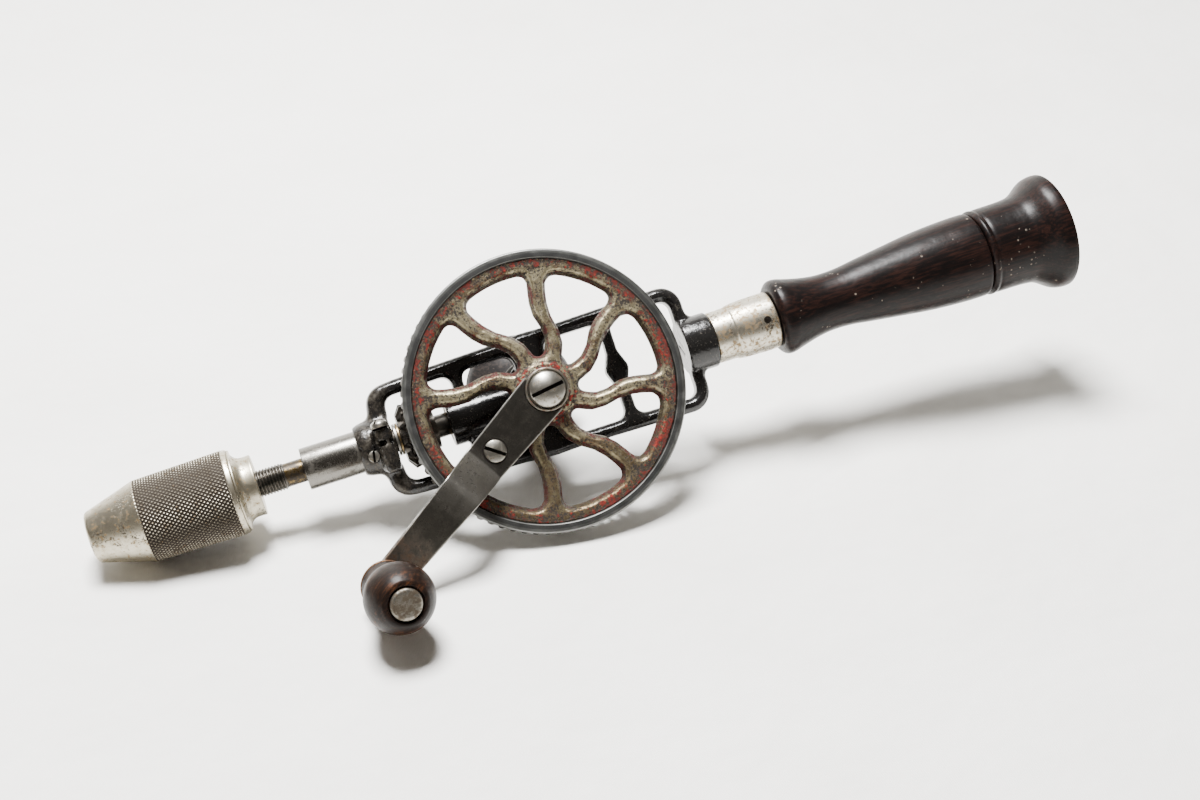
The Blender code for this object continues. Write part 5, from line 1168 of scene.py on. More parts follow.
@dataclass
class Handle:
    """Ferrule, its pin, the wooden grip and its screw cap.

    Attributes:
        ferrule_front: Where the ferrule starts.
        ferrule_back: Where it ends.
        tube: Its mean radius.
        grip_back: Where the grip ends.
        cap_front: Where the cap starts.
        cap_back: Where its end is highest.
        rim: Radius of its flared end.
        dome: Height of that end's dome.
    """

    ferrule_front: float = 75.7
    ferrule_back: float = 103.3
    tube: float = 12.0
    grip_back: float = 197.6
    cap_front: float = 197.9
    cap_back: float = 237.85
    rim: float = 25.0
    dome: float = 4.0

    def build(self, rack: Rack) -> None:
        """Make the four pieces.

        Args:
            rack: The shared lines and finishes.
        """
        rosewood = Wood("rosewood", (0.0036, 0.0025, 0.0024), (0.0150, 0.0065, 0.0050),
                        (0.040, 0.016, 0.010), patches=0.25, rough=0.30, gloss=0.02,
                        nicks=0.8).coat(rack.drill)
        self.ferrule(rack)
        self.grip(rack, rosewood)
        self.cap(rack, rosewood)
        rack.dress("tang", rack.dark)

    def ferrule(self, rack: Rack) -> None:
        """Stepped nickel tube with rolled ends, and the pin with a painted shade disc round it.

        The tube is dented by slow sine waves of the angle and the distance along: where
        their sum is below 0, the radius is less by that many millimetres.

        Args:
            rack: The shared lines and finishes.
        """
        a, b = self.ferrule_front, self.ferrule_back
        outline = eased([
            (a + 0.2, 9.2, 0), (a, 10.9, 0.5), (a + 8.6, 11.0, 1.0), (a + 9.2, 11.45, 0.6),
            (a + 12.0, 11.9, 1.6), (a + 20.0, 12.15, 2.0), (b - 1.2, 12.2, 0.8),
            (b - 0.3, 12.0, 0.4), (b - 0.2, 10.0, 0)], 5)
        piece = turn_up("ferrule_tube", outline, rack.drill, steps=128)
        points = piece.points
        angle = np.arctan2(points[:, 2], points[:, 1])
        dents = (0.07 * np.sin(3 * angle + points[:, 0] * 0.24)
                 * np.sin(points[:, 0] * 0.41 + 1.3) + 0.05 * np.sin(2 * angle + 2.1))
        points[:, 1:] *= 1 + np.minimum(dents, 0.0)[:, None] / self.tube
        finish = Nickel("ferrule_nickel", spotted=1.0, plate=(0.52, 0.485, 0.40)).coat(rack.drill)
        piece.make(finish, "frame", "worn_nickel", ("ferrule",))
        spot = middle_of("ferrule_pin", rack.drill)
        # Painted shade: a dark disc round the pin stands for its shaded hole.
        hole_disc = eased([(11.5, 0.0, 0), (11.5, 1.55, 0), (12.22, 1.55, 0.1), (12.26, 1.25, 0.05),
                        (12.21, 0.75, 0.1), (12.28, 0.0, 0)], 4)
        turn_up("ferrule_eyelet", hole_disc, rack.drill, Along.OUT, 40, at=(spot[0], spot[2])).make(
            rack.pitch, "frame", "dark_steel")
        rack.dress("ferrule_pin", rack.dark)

    def grip(self, rack: Rack, finish: bpy.types.Material) -> None:
        """Grip from its bead through the neck to the swell.

        Its knots give the share of the grip's length and the radius.

        Args:
            rack: The shared lines and finishes.
            finish: Finish of the wood.
        """
        a, length = self.ferrule_back + 0.3, self.grip_back - self.ferrule_back - 0.3
        knots = [(0.000, 13.6), (0.008, 14.7), (0.020, 15.7), (0.036, 16.05), (0.058, 15.9),
                 (0.085, 15.2), (0.130, 14.1), (0.190, 12.9), (0.235, 12.35), (0.285, 12.2),
                 (0.345, 12.5), (0.435, 13.65), (0.580, 15.45), (0.720, 17.1), (0.850, 18.0),
                 (0.950, 18.3), (0.985, 18.25)]
        body = flowing([(a + share * length, radius) for share, radius in knots], 220)
        end = self.grip_back
        outline = np.concatenate([[[a, 9.0], [a - 0.02, 12.9]], body,
                                  eased([(end - 1.0, 18.2, 0), (end - 0.25, 17.95, 0.4),
                                         (end, 16.9, 0.4), (end, 9.5, 0)], 4)])
        turn_up("grip_turned", outline, rack.drill, steps=160).make(
            finish, "frame", "rosewood", ("handle_grip",))

    def cap(self, rack: Rack, finish: bpy.types.Material) -> None:
        """Cap from its groove to the flared end, which is a shallow cap of a ball.

        The ball's radius is (rim**2 + dome**2) / (2 * dome).

        Args:
            rack: The shared lines and finishes.
            finish: Finish of the wood.
        """
        a, b = self.cap_front, self.cap_back
        knots = [(a + 0.8, 18.1), (a + 1.5, 18.55), (a + 2.3, 18.6), (a + 3.0, 18.25),
                 (a + 3.5, 18.1), (a + 4.4, 18.35), (a + 6.5, 18.5), (a + 12.0, 18.55),
                 (a + 18.0, 18.8), (a + 22.0, 19.4), (a + 25.0, 20.8), (a + 27.5, 22.5),
                 (a + 30.0, 24.1), (a + 32.5, 24.85), (a + 34.4, 25.05)]
        body = flowing(knots, 150)
        ball = (self.rim ** 2 + self.dome ** 2) / 2 / self.dome
        inward = np.linspace(self.rim - 1.9, 0, 30)
        dome = np.stack([b - ball + np.sqrt(ball ** 2 - inward ** 2), inward], 1)
        edge = eased([(a + 34.8, self.rim - 0.03, 0), (a + 36.0, self.rim - 0.05, 1.1),
                      tuple(dome[0]) + (0,)], 6)
        front = eased([(a + 0.1, 0.0, 0), (a + 0.1, 16.2, 0.2), (a + 0.35, 17.4, 0.3),
                       (a + 0.8, 18.1, 0)], 4)
        outline = np.concatenate([front[:-1], body, edge, dome[1:]])
        turn_up("cap_turned", outline, rack.drill, steps=160).make(
            finish, "cap", "rosewood", ("handle_cap",))


@dataclass
class Chuck:
    """Knurled sleeve, body with the coved flange, and the jaws.

    Attributes:
        nose: Front end of the sleeve.
        cone: Where its nose cone meets the knurl.
        cone_radius: Radius there.
        mouth_radius: Radius of the mouth that the jaws show in.
        knurl_back: Where the knurl ends.
        knurl_radius: Radius there.
        lip: Back end of the sleeve.
        back: Back end of the body's flange.
        diamonds: Diamonds of the knurl once round.
        diamond_length: Length of a diamond.
        fineness: Points across a diamond.
        depth: Depth of the knurl.
        slope: Share of the way from a groove to a diamond's middle over which it rises.
        fades: Lengths over which the knurl starts and ends.
        bore: Radius of the sleeve's straight bore.
        bore_front: Distance from the nose to the bore's front end.
        core: Radius of the body inside the sleeve.
        core_front: Distance from the nose to the body's front end.
    """

    nose: float = -186.68
    cone: float = -165.28
    cone_radius: float = 16.78
    mouth_radius: float = 5.8
    knurl_back: float = -129.48
    knurl_radius: float = 17.58
    lip: float = -127.48
    back: float = -119.18
    diamonds: int = 66
    diamond_length: float = 2.1
    fineness: int = 6
    depth: float = 0.58
    slope: float = 0.85
    fades: tuple[float, float] = (0.3, 0.5)
    bore: float = 13.4
    bore_front: float = 27.2
    core: float = 11.2
    core_front: float = 27.8

    def build(self, rack: Rack) -> None:
        """Make the sleeve and the body, and dress the jaws.

        Args:
            rack: The shared lines and finishes.
        """
        self.sleeve(rack)
        self.body(rack)
        for jaw in ("jaw_1", "jaw_2", "jaw_3"):
            rack.dress(jaw, rack.dark)

    def sleeve(self, rack: Rack) -> None:
        """Straight bore, seat for the jaws, nose cone, diamond knurl and lip in one shell.

        The knurl lowers the radius by `depth` where either of two families of helical grooves
        runs: one where diamonds * angle / turn + x / length is a whole number, the other
        where diamonds * angle / turn - x / length is one. It fades out at both of its ends.

        Args:
            rack: The shared lines and finishes.
        """
        steps = self.diamonds * self.fineness
        angle = np.arange(steps) * TURN / steps
        nose, mouth = self.nose, self.mouth_radius
        front = eased([(self.lip, self.bore, 0), (nose + self.bore_front, self.bore, 0),
                       (nose + 1.8, mouth, 0.5), (nose + 0.5, mouth, 0.4), (nose, 6.4, 0.4),
                       (nose, 9.6, 0.6), (nose + 0.9, 10.45, 0.6), (self.cone - 0.5, 16.65, 0.6),
                       (self.cone, self.cone_radius, 0)], 5)
        rows = int(round((self.knurl_back - self.cone) / self.diamond_length * self.fineness))
        band = np.linspace(self.cone, self.knurl_back, rows + 1)
        swell = np.interp(band, (self.cone, self.knurl_back),
                          (self.cone_radius, self.knurl_radius))
        back = eased([(self.knurl_back, 17.50, 0), (self.knurl_back + 0.3, 17.4, 0.2),
                      (self.lip - 0.3, 17.25, 0.3), (self.lip, 16.9, 0.3),
                      (self.lip, self.bore + 0.1, 0)], 4)
        outline = np.concatenate([front, np.stack([band, swell], 1), back])
        piece = turn_up("sleeve_knurled", outline, rack.drill, steps=steps, closed=True)
        x = outline[:, :1]
        turns = (x - self.cone) / self.diamond_length
        around = self.diamonds * angle[None] / TURN
        families = [2 * np.abs((around + sign * turns) % 1.0 - 0.5) for sign in (1, -1)]
        relief = np.minimum(*[np.clip((1 - off) / self.slope, 0, 1) for off in families])
        start, end = self.fades
        inside = np.clip((x - self.cone) / start, 0, 1) * np.clip(
            (self.knurl_back - x) / end, 0, 1)
        on_band = np.zeros((len(outline), 1))
        on_band[len(front):len(front) + rows + 1] = 1
        relief = 1 - (1 - relief) * inside * on_band
        lowered = 1 - self.depth * (1 - relief) / outline[:, 1:]
        shape = piece.points.reshape(len(outline), steps, 3)
        shape[..., 1:] *= lowered[..., None]
        piece.points = shape.reshape(-1, 3)
        piece.marks["relief"] = relief.ravel()
        piece.crease = 60.0
        finish = Nickel("knurled_nickel", plate=(0.46, 0.42, 0.33),
                        knurled=True).coat(rack.drill)
        piece.make(finish, "sleeve", "worn_nickel", ("chuck_sleeve",))

    def body(self, rack: Rack) -> None:
        """Core inside the sleeve, then the shoulder and a cove that ends in the flange.

        The cove is a quarter of an ellipse from the shoulder down to the flange's radius.

        Args:
            rack: The shared lines and finishes.
        """
        back, lip = self.back, self.lip
        t = np.linspace(0, pi / 2, 18)
        cove = np.stack([lip + 0.75 + 4.0 * (1 - np.cos(t)), 16.6 - 4.25 * np.sin(t)], 1)
        outline = np.concatenate([
            [(self.nose + self.core_front, 0.0), (self.nose + self.core_front, self.core)],
            eased([(lip + 0.05, self.core, 0), (lip + 0.05, 16.75, 0.2), (lip + 0.7, 16.75, 0.2),
                   tuple(cove[0]) + (0,)], 4),
            cove[1:],
            eased([(back - 1.6, 12.35, 0), (back - 0.5, 12.48, 0.6), (back, 12.3, 0.3),
                   (back, 6.2, 0.3), (back - 1.0, 0.0, 0)], 4)])
        turn_up("chuck_core", outline, rack.drill, steps=128).make(
            rack.nickel, "spindle_body", "worn_nickel", ("chuck_body",))


@dataclass
class Spindle:
    """Threaded shaft, pinion, thrust washers, and the bearing sleeve round it.

    Attributes:
        front: Front end of the shaft, inside the chuck.
        thread_front: Where the thread starts.
        thread_back: Where it ends.
        tail: Back end of the shaft.
        radius: Radius of the shaft.
        root: Radius of the thread's root.
        ridge: Height of the thread.
        pitch: Length of a turn of the thread.
        row: Length between its rows of points.
        steps: Points once round it.
        blunt: What its triangle wave is multiplied by before it is cut off at 1.
        fades: Lengths over which it starts and ends.
        washer: Half thickness, inner and outer radius of both thrust washers.
        sleeve: Front, back, inner and outer radius of the bearing sleeve.
    """

    front: float = -133.0
    thread_front: float = -119.3
    thread_back: float = -108.08
    tail: float = -22.6
    radius: float = 4.75
    root: float = 4.95
    ridge: float = 0.55
    pitch: float = 1.27
    row: float = 0.105
    steps: int = 72
    blunt: float = 1.25
    fades: tuple[float, float] = (0.3, 0.6)
    washer: tuple[float, float, float] = (0.45, 5.2, 6.6)
    sleeve: tuple[float, float, float, float] = (-100.08, -63.0, 5.3, 8.65)

    def build(self, rack: Rack) -> None:
        """Make the shaft, the washers and the sleeve, and dress the rest.

        Args:
            rack: The shared lines and finishes.
        """
        self.shaft(rack)
        half, inner, outer = self.washer
        for node, slot, finish in (("thrust_washer_steel", "bright_steel", rack.bright),
                                   ("thrust_washer_brass", "bronze", rack.brass)):
            x = middle_of(node, rack.drill)[0]
            turn_up(f"{node}_ring", rolled(x - half, x + half, inner, outer, 0.15, 3),
                    rack.drill, steps=72, closed=True).make(
                finish, "spindle_body", slot, (node,))
        turn_up("front_bearing", rolled(*self.sleeve, 0.35), rack.drill, steps=112,
                closed=True).make(
            Steel("polished_sleeve", (0.155, 0.147, 0.132), (0.085, 0.077, 0.064), rough=0.19,
                  stained=0.5, blot=9.0, pitted=0.05).coat(rack.drill),
            "frame", "bright_steel", ("bearing_sleeve",))
        for node, finish in (("drive_pinion", rack.black), ("rear_bush", rack.brass),
                             ("pinion_pin", rack.bright)):
            rack.dress(node, finish)

    def shaft(self, rack: Rack) -> None:
        """Shaft whose nose carries a right-hand thread, and the varnished band behind it.

        On the threaded stretch the radius is the root plus the ridge times a rounded
        triangle wave of x / pitch - angle / turn, which fades in and out at the ends.

        Args:
            rack: The shared lines and finishes.
        """
        steps, back = self.steps, self.thread_back
        x = np.concatenate([[self.front, self.front], np.arange(self.thread_front, back, self.row),
                            [back + 0.25, back + 0.3, self.tail - 0.3, self.tail, self.tail]])
        angle = np.arange(steps) * TURN / steps
        phase = (x[:, None] / self.pitch - angle[None] / TURN) % 1.0
        wave = np.clip((1 - 2 * np.abs(phase - 0.5)) * self.blunt, 0, 1)
        start, end = self.fades
        threaded = (np.clip((x - self.thread_front) / start, 0, 1)
                    * np.clip((back - x) / end, 0, 1))[:, None]
        base = np.where(x > back, self.radius, self.root)[:, None]
        radius = base + threaded * (wave * self.ridge)
        radius[[0, -1]] = 0
        radius[-2] = self.radius - 0.25
        points = np.stack([np.broadcast_to(x[:, None], radius.shape), radius * np.cos(angle),
                           radius * np.sin(angle)], -1)
        Piece("shaft_threaded", points.reshape(-1, 3), grid_faces(len(x), steps, False, True),
              rack.drill, crease=50.0).make(
            rack.black, "spindle_body", "black_steel", ("spindle",))
        band = np.array([(-108.0, 4.6), (-107.95, 4.82), (-100.4, 4.82), (-100.3, 4.6)])
        turn_up("shaft_band", band, rack.drill, steps=64).make(
            Steel("varnished_steel", (0.115, 0.080, 0.034), (0.022, 0.016, 0.010),
                  rough=0.16, stained=1.0, blot=3.0).coat(rack.drill),
            "spindle_body", "black_steel")


@dataclass
class Wheel:
    """Toothed ring, cast web with its curved spokes, hub collar and hub screw.

    Attributes:
        teeth: Number of teeth.
        pitch_radius: Pitch radius at the teeth's large end.
        pinion_radius: The pinion's pitch radius, and so how far along -y that circle lies.
        module: Pitch diameter for each tooth.
        small: Small end of the teeth, as a share of the way from where the axes cross.
        tip: Height of a tooth over the pitch cone, in modules.
        root: Depth of a gap below it, in modules.
        flank: Angle of a tooth's sides in degrees.
        play: Half of the play between teeth.
        grain: Size of the web's quads.
        web_face: y in front of which the web's skin is its face.
        web_lowered: How far the rim of a spoke's face is lowered for each share it lacks.
        web_crowned: y where that starts, and where it is in full.
        web_edge: Radius past which the web is drawn in.
        web_drawn: Share that is left of what lies past it.
        web_clear: Space between the web and the cone of the gaps.
        under_ring: Radius past which it stays in front of the teeth.
        behind_lip: Radius past which it stays behind the ring's lip, and the lip's y.
        root_slope: y over radius on the cone of the gaps.
        screw: The hub screw's head.
    """

    teeth: int = 76
    pitch_radius: float = 57.38
    pinion_radius: float = 12.08
    module: float = 1.51
    small: float = 0.884
    tip: float = 0.95
    root: float = 1.25
    flank: float = 20.0
    play: float = 0.09
    grain: float = 0.57
    web_face: float = -18.0
    web_lowered: float = 1.9
    web_crowned: tuple[float, float] = (-13.5, -18.0)
    web_edge: float = 53.3
    web_drawn: float = 0.25
    web_clear: float = 0.35
    under_ring: float = 50.0
    behind_lip: tuple[float, float] = (53.1, -18.9)
    root_slope: float = -0.2444
    screw: SlottedHead = SlottedHead(radius=7.6, base=22.9, rim=2.45, dome=2.75, width=1.45,
                                     depth=2.2, turn=8.0)

    def build(self, rack: Rack) -> None:
        """Make the pieces.

        Args:
            rack: The shared lines and finishes.
        """
        self.ring(rack)
        self.web(rack)
        collar = eased([(20.3, 7.7, 0), (20.3, 8.85, 0), (24.2, 8.85, 0.25), (24.62, 8.5, 0.3),
                        (24.62, 8.05, 0.2), (24.3, 7.75, 0.1), (22.9, 7.7, 0)], 4)
        turn_up("hub_collar", collar, rack.drill, Along.OUT, 96, closed=True).make(
            Steel("collar_steel", (0.20, 0.185, 0.155), (0.10, 0.05, 0.03), rough=0.32,
                  stained=0.6).coat(rack.drill), "wheel", "worn_wheel")
        self.screw.shape("hub_screw_head", rack.drill).make(
            rack.slotted, "frame", "bright_steel", ("hub_screw",))
        rack.dress("wheel_axle", rack.dark)

    def tooth_height(self, angle: np.ndarray) -> np.ndarray:
        """Share of the full tooth height at an angle.

        It is 1 within half a tip's width of a tooth's middle, 0 past half its root's width,
        and 3 s**2 - 2 s**3 of the share s of the way between. A tooth's half width is a
        quarter of pi times the module less the play, and grows downwards with the flank.

        Args:
            angle: Angles about the wheel's axis.

        Returns:
            The shares.
        """
        pitch = TURN / self.teeth
        start = pi + pitch / 2
        off = (angle - start + pitch / 2) % pitch - pitch / 2
        flank = tan(radians(self.flank))
        half = pi * self.module / 4 - self.play
        tip = (half - self.tip * self.module * flank) / self.pitch_radius
        root = (half + self.root * self.module * flank) / self.pitch_radius
        share = np.clip((root - np.abs(off)) / (root - tip), 0, 1)
        return share * share * (3 - 2 * share)

    def ring(self, rack: Rack) -> None:
        """Rim ring and its bevel teeth.

        Rows follow the section from the teeth's small end over them, down the outer wall,
        across the machined face and back inside the web. On the tooth rows a point lies
        between the root cone and the tip cone by the tooth height at its angle. Columns stand
        at set shares of a pitch, close together on the flanks.

        Args:
            rack: The shared lines and finishes.
        """
        cone = atan2(self.pitch_radius, self.pinion_radius)
        pitch = np.array([self.pitch_radius, -self.pinion_radius])
        square = np.array([cos(cone), sin(cone)])
        tip = pitch + self.tip * self.module * square
        root = pitch - self.root * self.module * square
        q = np.concatenate([[self.small, self.small], np.linspace(self.small + 0.004, 0.996, 5),
                            [1.0, 1.0]])
        raised = np.ones(len(q))
        raised[[0, -1]] = 0
        raised[[1, -2]] = 0.9
        rest = eased([(root[0], root[1], 0), (57.0, -14.6, 0.2), (57.05, -15.2, 0.3),
                      (57.2, -19.4, 0.2), (56.6, -19.96, 0.25), (53.75, FACE_Y, 0.25),
                      (53.2, -19.35, 0.15), (53.0, -18.9, 0), (50.6, -13.6, 0)], 4)[1:]
        offsets = np.array([-.5, -.405, -.385, -.345, -.26, -.17, -.125, -.05, .05, .125, .17,
                            .26, .345, .385, .405])
        angle = ((np.arange(self.teeth)[:, None] + offsets[None]) * TURN / self.teeth
                 + pi + pi / self.teeth).ravel()
        height = self.tooth_height(angle)[None] * raised[:, None]
        rim = q[:, None, None] * (root + height[..., None] * (tip - root))
        body = np.broadcast_to(rest[:, None], (len(rest), len(angle), 2))
        section = np.concatenate([rim, body])
        radius, y = section[..., 0], section[..., 1]
        points = np.stack([radius * np.cos(angle), y, radius * np.sin(angle)], -1)
        piece = Piece("rim_toothed", points.reshape(-1, 3),
                      grid_faces(len(section), len(angle), True, True), rack.drill, crease=38.0)
        piece.make(RimSteel().coat(rack.drill), "wheel", "worn_wheel")

    def web(self, rack: Rack) -> None:
        """Spokes, band and hub as one softened casting that runs under the toothed ring.

        The front skin, spread out along the mesh, is near 1 in the middle of a spoke and 0.5
        at its edge. What it lacks to 1 lowers the face, so that each spoke is crowned. What
        lies past `web_edge` is drawn in, and stays in front of the teeth and behind the lip.

        Args:
            rack: The shared lines and finishes.
        """
        skin = Skin.over(rack.nodes["gear_wheel"], self.grain, rack.drill)
        skin.points = skin.softened(10, 0.82)
        points = skin.points
        crown = skin.spread((points[:, 1] < self.web_face).astype(float), 12)
        start, full = self.web_crowned
        points[:, 1] += self.web_lowered * (1 - crown) * np.clip(
            (start - points[:, 1]) / (start - full), 0, 1)
        proud = skin.crest(6)
        radius = np.hypot(points[:, 0], points[:, 2])
        edge = self.web_edge
        pull = np.where(radius > edge, (edge + (radius - edge) * self.web_drawn) / radius, 1.0)
        points[:, 0] *= pull
        points[:, 2] *= pull
        y = points[:, 1]
        under = self.root_slope * radius * pull - self.web_clear
        y = np.where(radius > self.under_ring, np.minimum(y, under), y)
        lip_radius, lip = self.behind_lip
        points[:, 1] = np.where(radius > lip_radius, np.maximum(y, lip), y)
        Piece("web_cast", points, skin.faces, rack.drill, 70.0,
              {"crest": proud, "crown": crown}).make(
            WheelIron().coat(rack.drill), "wheel", "worn_wheel", ("gear_wheel",))


@dataclass
class Crank:
    """Arm, the screw that holds it, the washer, the knob and its pin.

    Attributes:
        butt: Distance from the wheel's axis at which the arm is butt_width wide.
        butt_width: Width there.
        tip_width: Width at the pin, where the arm's round end starts.
        length: Distance from the wheel's axis to the pin.
        thickness: Thickness of the bar.
        edge: Rounding of its edges.
        step_start: Where it starts to step outwards.
        step_length: Length of the step.
        rise: Height of the step.
        bend: Length over which each bend of the step is rounded.
        twist: Twist of its last part, towards the leaning pin.
        twist_start: Where the twist starts.
        twist_length: Length of the twist.
        back: Distance of its inner face from the spindle's axis.
        collar: Radius that the butt keeps clear for the hub's collar.
        butt_end: Distance past which the stations aren't pushed outwards by the collar.
        screw: The crank screw's head.
        screw_at: Its distance along the arm.
        base: Where the knob starts along its pin.
        face: Where it ends.
    """

    butt: float = 2.1
    butt_width: float = 19.4
    tip_width: float = 13.5
    length: float = 99.2
    thickness: float = 3.2
    edge: float = 0.42
    step_start: float = 38.0
    step_length: float = 15.0
    rise: float = 13.0
    bend: float = 4.5
    twist: float = radians(14.0)
    twist_start: float = 56.0
    twist_length: float = 30.0
    back: float = 20.88
    collar: float = 9.15
    butt_end: float = 26.0
    screw: SlottedHead = SlottedHead(radius=4.7, base=22.6, rim=1.9, dome=1.05, width=1.3,
                                     depth=1.3, turn=-36.0)
    screw_at: float = 32.1
    base: float = 3.5
    face: float = 37.5

    def build(self, rack: Rack) -> None:
        """Make the pieces.

        Args:
            rack: The shared lines and finishes.
        """
        self.arm(rack)
        at = rack.drill.from_bench(rack.crank.to_bench(np.array([[self.screw_at, 0, 0]])))[0]
        self.screw.shape("crank_screw_head", rack.drill, (at[0], at[2])).make(
            rack.slotted, "wheel", "bright_steel", ("crank_screw",))
        self.knob(rack)

    def stations(self) -> tuple[np.ndarray, ...]:
        """Distance, half width, outward step and twist along the arm.

        The half width falls evenly to the pin and then follows a half circle. The step is 0.65
        of an even rise and 0.35 of half a cosine wave, averaged over the bend's length. The
        twist is half a cosine wave.

        Returns:
            Four arrays with a value by station.
        """
        slope = (self.tip_width - self.butt_width) / 2 / (self.length - self.butt)
        straight = np.concatenate([np.linspace(0, 1, 14) * (self.step_start - 4),
                                   np.linspace(self.step_start - 3.2,
                                               self.step_start + self.step_length + 3.6, 34),
                                   np.linspace(self.twist_start + 1.5,
                                               self.twist_start + self.twist_length, 20),
                                   np.linspace(self.length - 10, self.length, 6)])
        rounding = np.sin(np.linspace(0, pi / 2, 16)[1:])
        distance = np.concatenate([straight, self.length + self.tip_width / 2 * rounding])
        half = self.butt_width / 2 + slope * (np.minimum(distance, self.length) - self.butt)
        half[len(straight):] *= np.sqrt(np.maximum(1 - rounding ** 2, 0))
        spread = distance[:, None] + np.linspace(-1, 1, 9) * self.bend / 2
        ramp = np.clip((spread - self.step_start) / self.step_length, 0, 1)
        step = self.rise * ((0.5 - 0.5 * np.cos(pi * ramp)) * 0.35 + ramp * 0.65).mean(1)
        far = np.clip((distance - self.twist_start) / self.twist_length, 0, 1)
        return distance, half, step, self.twist * (0.5 - 0.5 * np.cos(pi * far))

    def arm(self, rack: Rack) -> None:
        """Flat bar whose butt curves round the hub's collar.

        The section at each station is a rounded rectangle. Its points at across-distance w
        start no nearer to the hub than sqrt(collar**2 - w**2), so the butt follows the collar,
        and up to `butt_end` they are pushed outwards in proportion. Quads between the first
        section's outer and inner side close the butt.

        Args:
            rack: The shared lines and finishes.
        """
        distance, half, step, twist = self.stations()
        ease, end = self.edge, self.butt_end
        quarter = np.linspace(0, pi / 2, 5)
        corner = np.stack([np.cos(quarter), np.sin(quarter)], 1) * ease
        flat = np.linspace(1, -1, 13)[1:-1]
        t = self.thickness / 2
        parts = []
        for sx, sy, order in ((1, 1, 1), (-1, 1, -1), (-1, -1, 1), (1, -1, -1)):
            arc = corner[::order] * (sx, sy)
            parts.append(np.stack([np.full(5, sx), arc[:, 0] - sx * ease,
                                   arc[:, 1] + sy * (t - ease)], 1))
            if order == 1:
                parts.append(np.stack([sx * flat, 0 * flat, np.full(len(flat), sy * t)], 1))
        section = np.concatenate(parts)
        limit = np.minimum(ease, half)[:, None] / ease
        across = section[None, :, 0] * half[:, None] + section[None, :, 1] * limit
        depth = np.broadcast_to(section[None, :, 2], across.shape)
        collar = np.sqrt(np.maximum(self.collar ** 2 - across ** 2, self.butt ** 2))
        reach = collar + (distance[:, None] / end) * (end - collar)
        along = np.where(distance[:, None] < end, reach, distance[:, None])
        y = -(self.back + t + step[:, None]) - depth * np.cos(twist)[:, None] \
            + across * np.sin(twist)[:, None]
        z = across * np.cos(twist)[:, None] + depth * np.sin(twist)[:, None]
        points = np.stack([along, y, z], -1)
        rows, columns = across.shape
        outer = np.arange(columns // 2 - 1)
        butt = np.stack([outer, outer + 1, columns - 2 - outer, columns - 1 - outer], 1)
        faces = np.concatenate([grid_faces(rows, columns, False, True), butt])
        Piece("arm_forged", points.reshape(-1, 3), faces, rack.crank, crease=50.0).make(
            ArmSteel().coat(rack.crank), "wheel", "dark_steel", ("crank_arm",))

    def knob(self, rack: Rack) -> None:
        """Washer, turned wooden knob and the riveted head of its pin.

        Args:
            rack: The shared lines and finishes.
        """
        turn_up("washer_rusty", rolled(1.85, 3.2, 3.2, 10.0, 0.3), rack.knob, Along.OUT, 80,
                closed=True).make(
            Steel("rusted_steel", (0.17, 0.095, 0.055), (0.06, 0.028, 0.015), rough=0.42,
                  stained=0.6, blot=1.5).coat(rack.knob),
            "wheel", "rusted_steel", ("knob_washer",))
        base, face = self.base, self.face
        body = flowing([(base + 0.5, 9.8), (base + 2.0, 9.55), (base + 4.8, 9.3),
                        (base + 9.0, 9.9), (base + 13.5, 11.5), (base + 18.0, 12.9),
                        (base + 21.5, 13.4), (base + 25.5, 13.15), (base + 29.0, 12.0),
                        (base + 31.8, 10.4), (base + 33.4, 9.0)], 110)
        outline = np.concatenate([[(base, 3.4), (base, 9.4)], body,
                                  eased([(face - 0.35, 8.7, 0), (face, 7.9, 0.5),
                                         (face, 6.95, 0.25), (face - 0.9, 6.75, 0.2),
                                         (face - 1.4, 6.7, 0.1), (face - 1.4, 3.4, 0)], 4)])
        turn_up("knob_turned", outline, rack.knob, Along.OUT, 128, closed=True).make(
            Wood("brown_wood", (0.0065, 0.0036, 0.0026), (0.017, 0.0080, 0.0048),
                 (0.066, 0.023, 0.0080), patches=0.62, rough=0.34, gloss=0.02,
                 nicks=0.2).coat(rack.knob), "knob", "brown_wood", ("crank_knob",))
        pin = eased([(-1.5, 0.0, 0), (-1.5, 3.0, 0), (36.6, 3.0, 0), (36.6, 6.1, 0.1),
                     (37.9, 6.1, 0.5), (38.62, 5.2, 0.9), (38.7, 0.0, 0)], 5)
        turn_up("pin_riveted", pin, rack.knob, Along.OUT, 80).make(
            Steel("pin_steel", (0.205, 0.19, 0.163), (0.070, 0.054, 0.036), rough=0.30,
                  stained=0.95, blot=2.6).coat(rack.knob),
            "wheel", "bright_steel", ("crank_pin",))


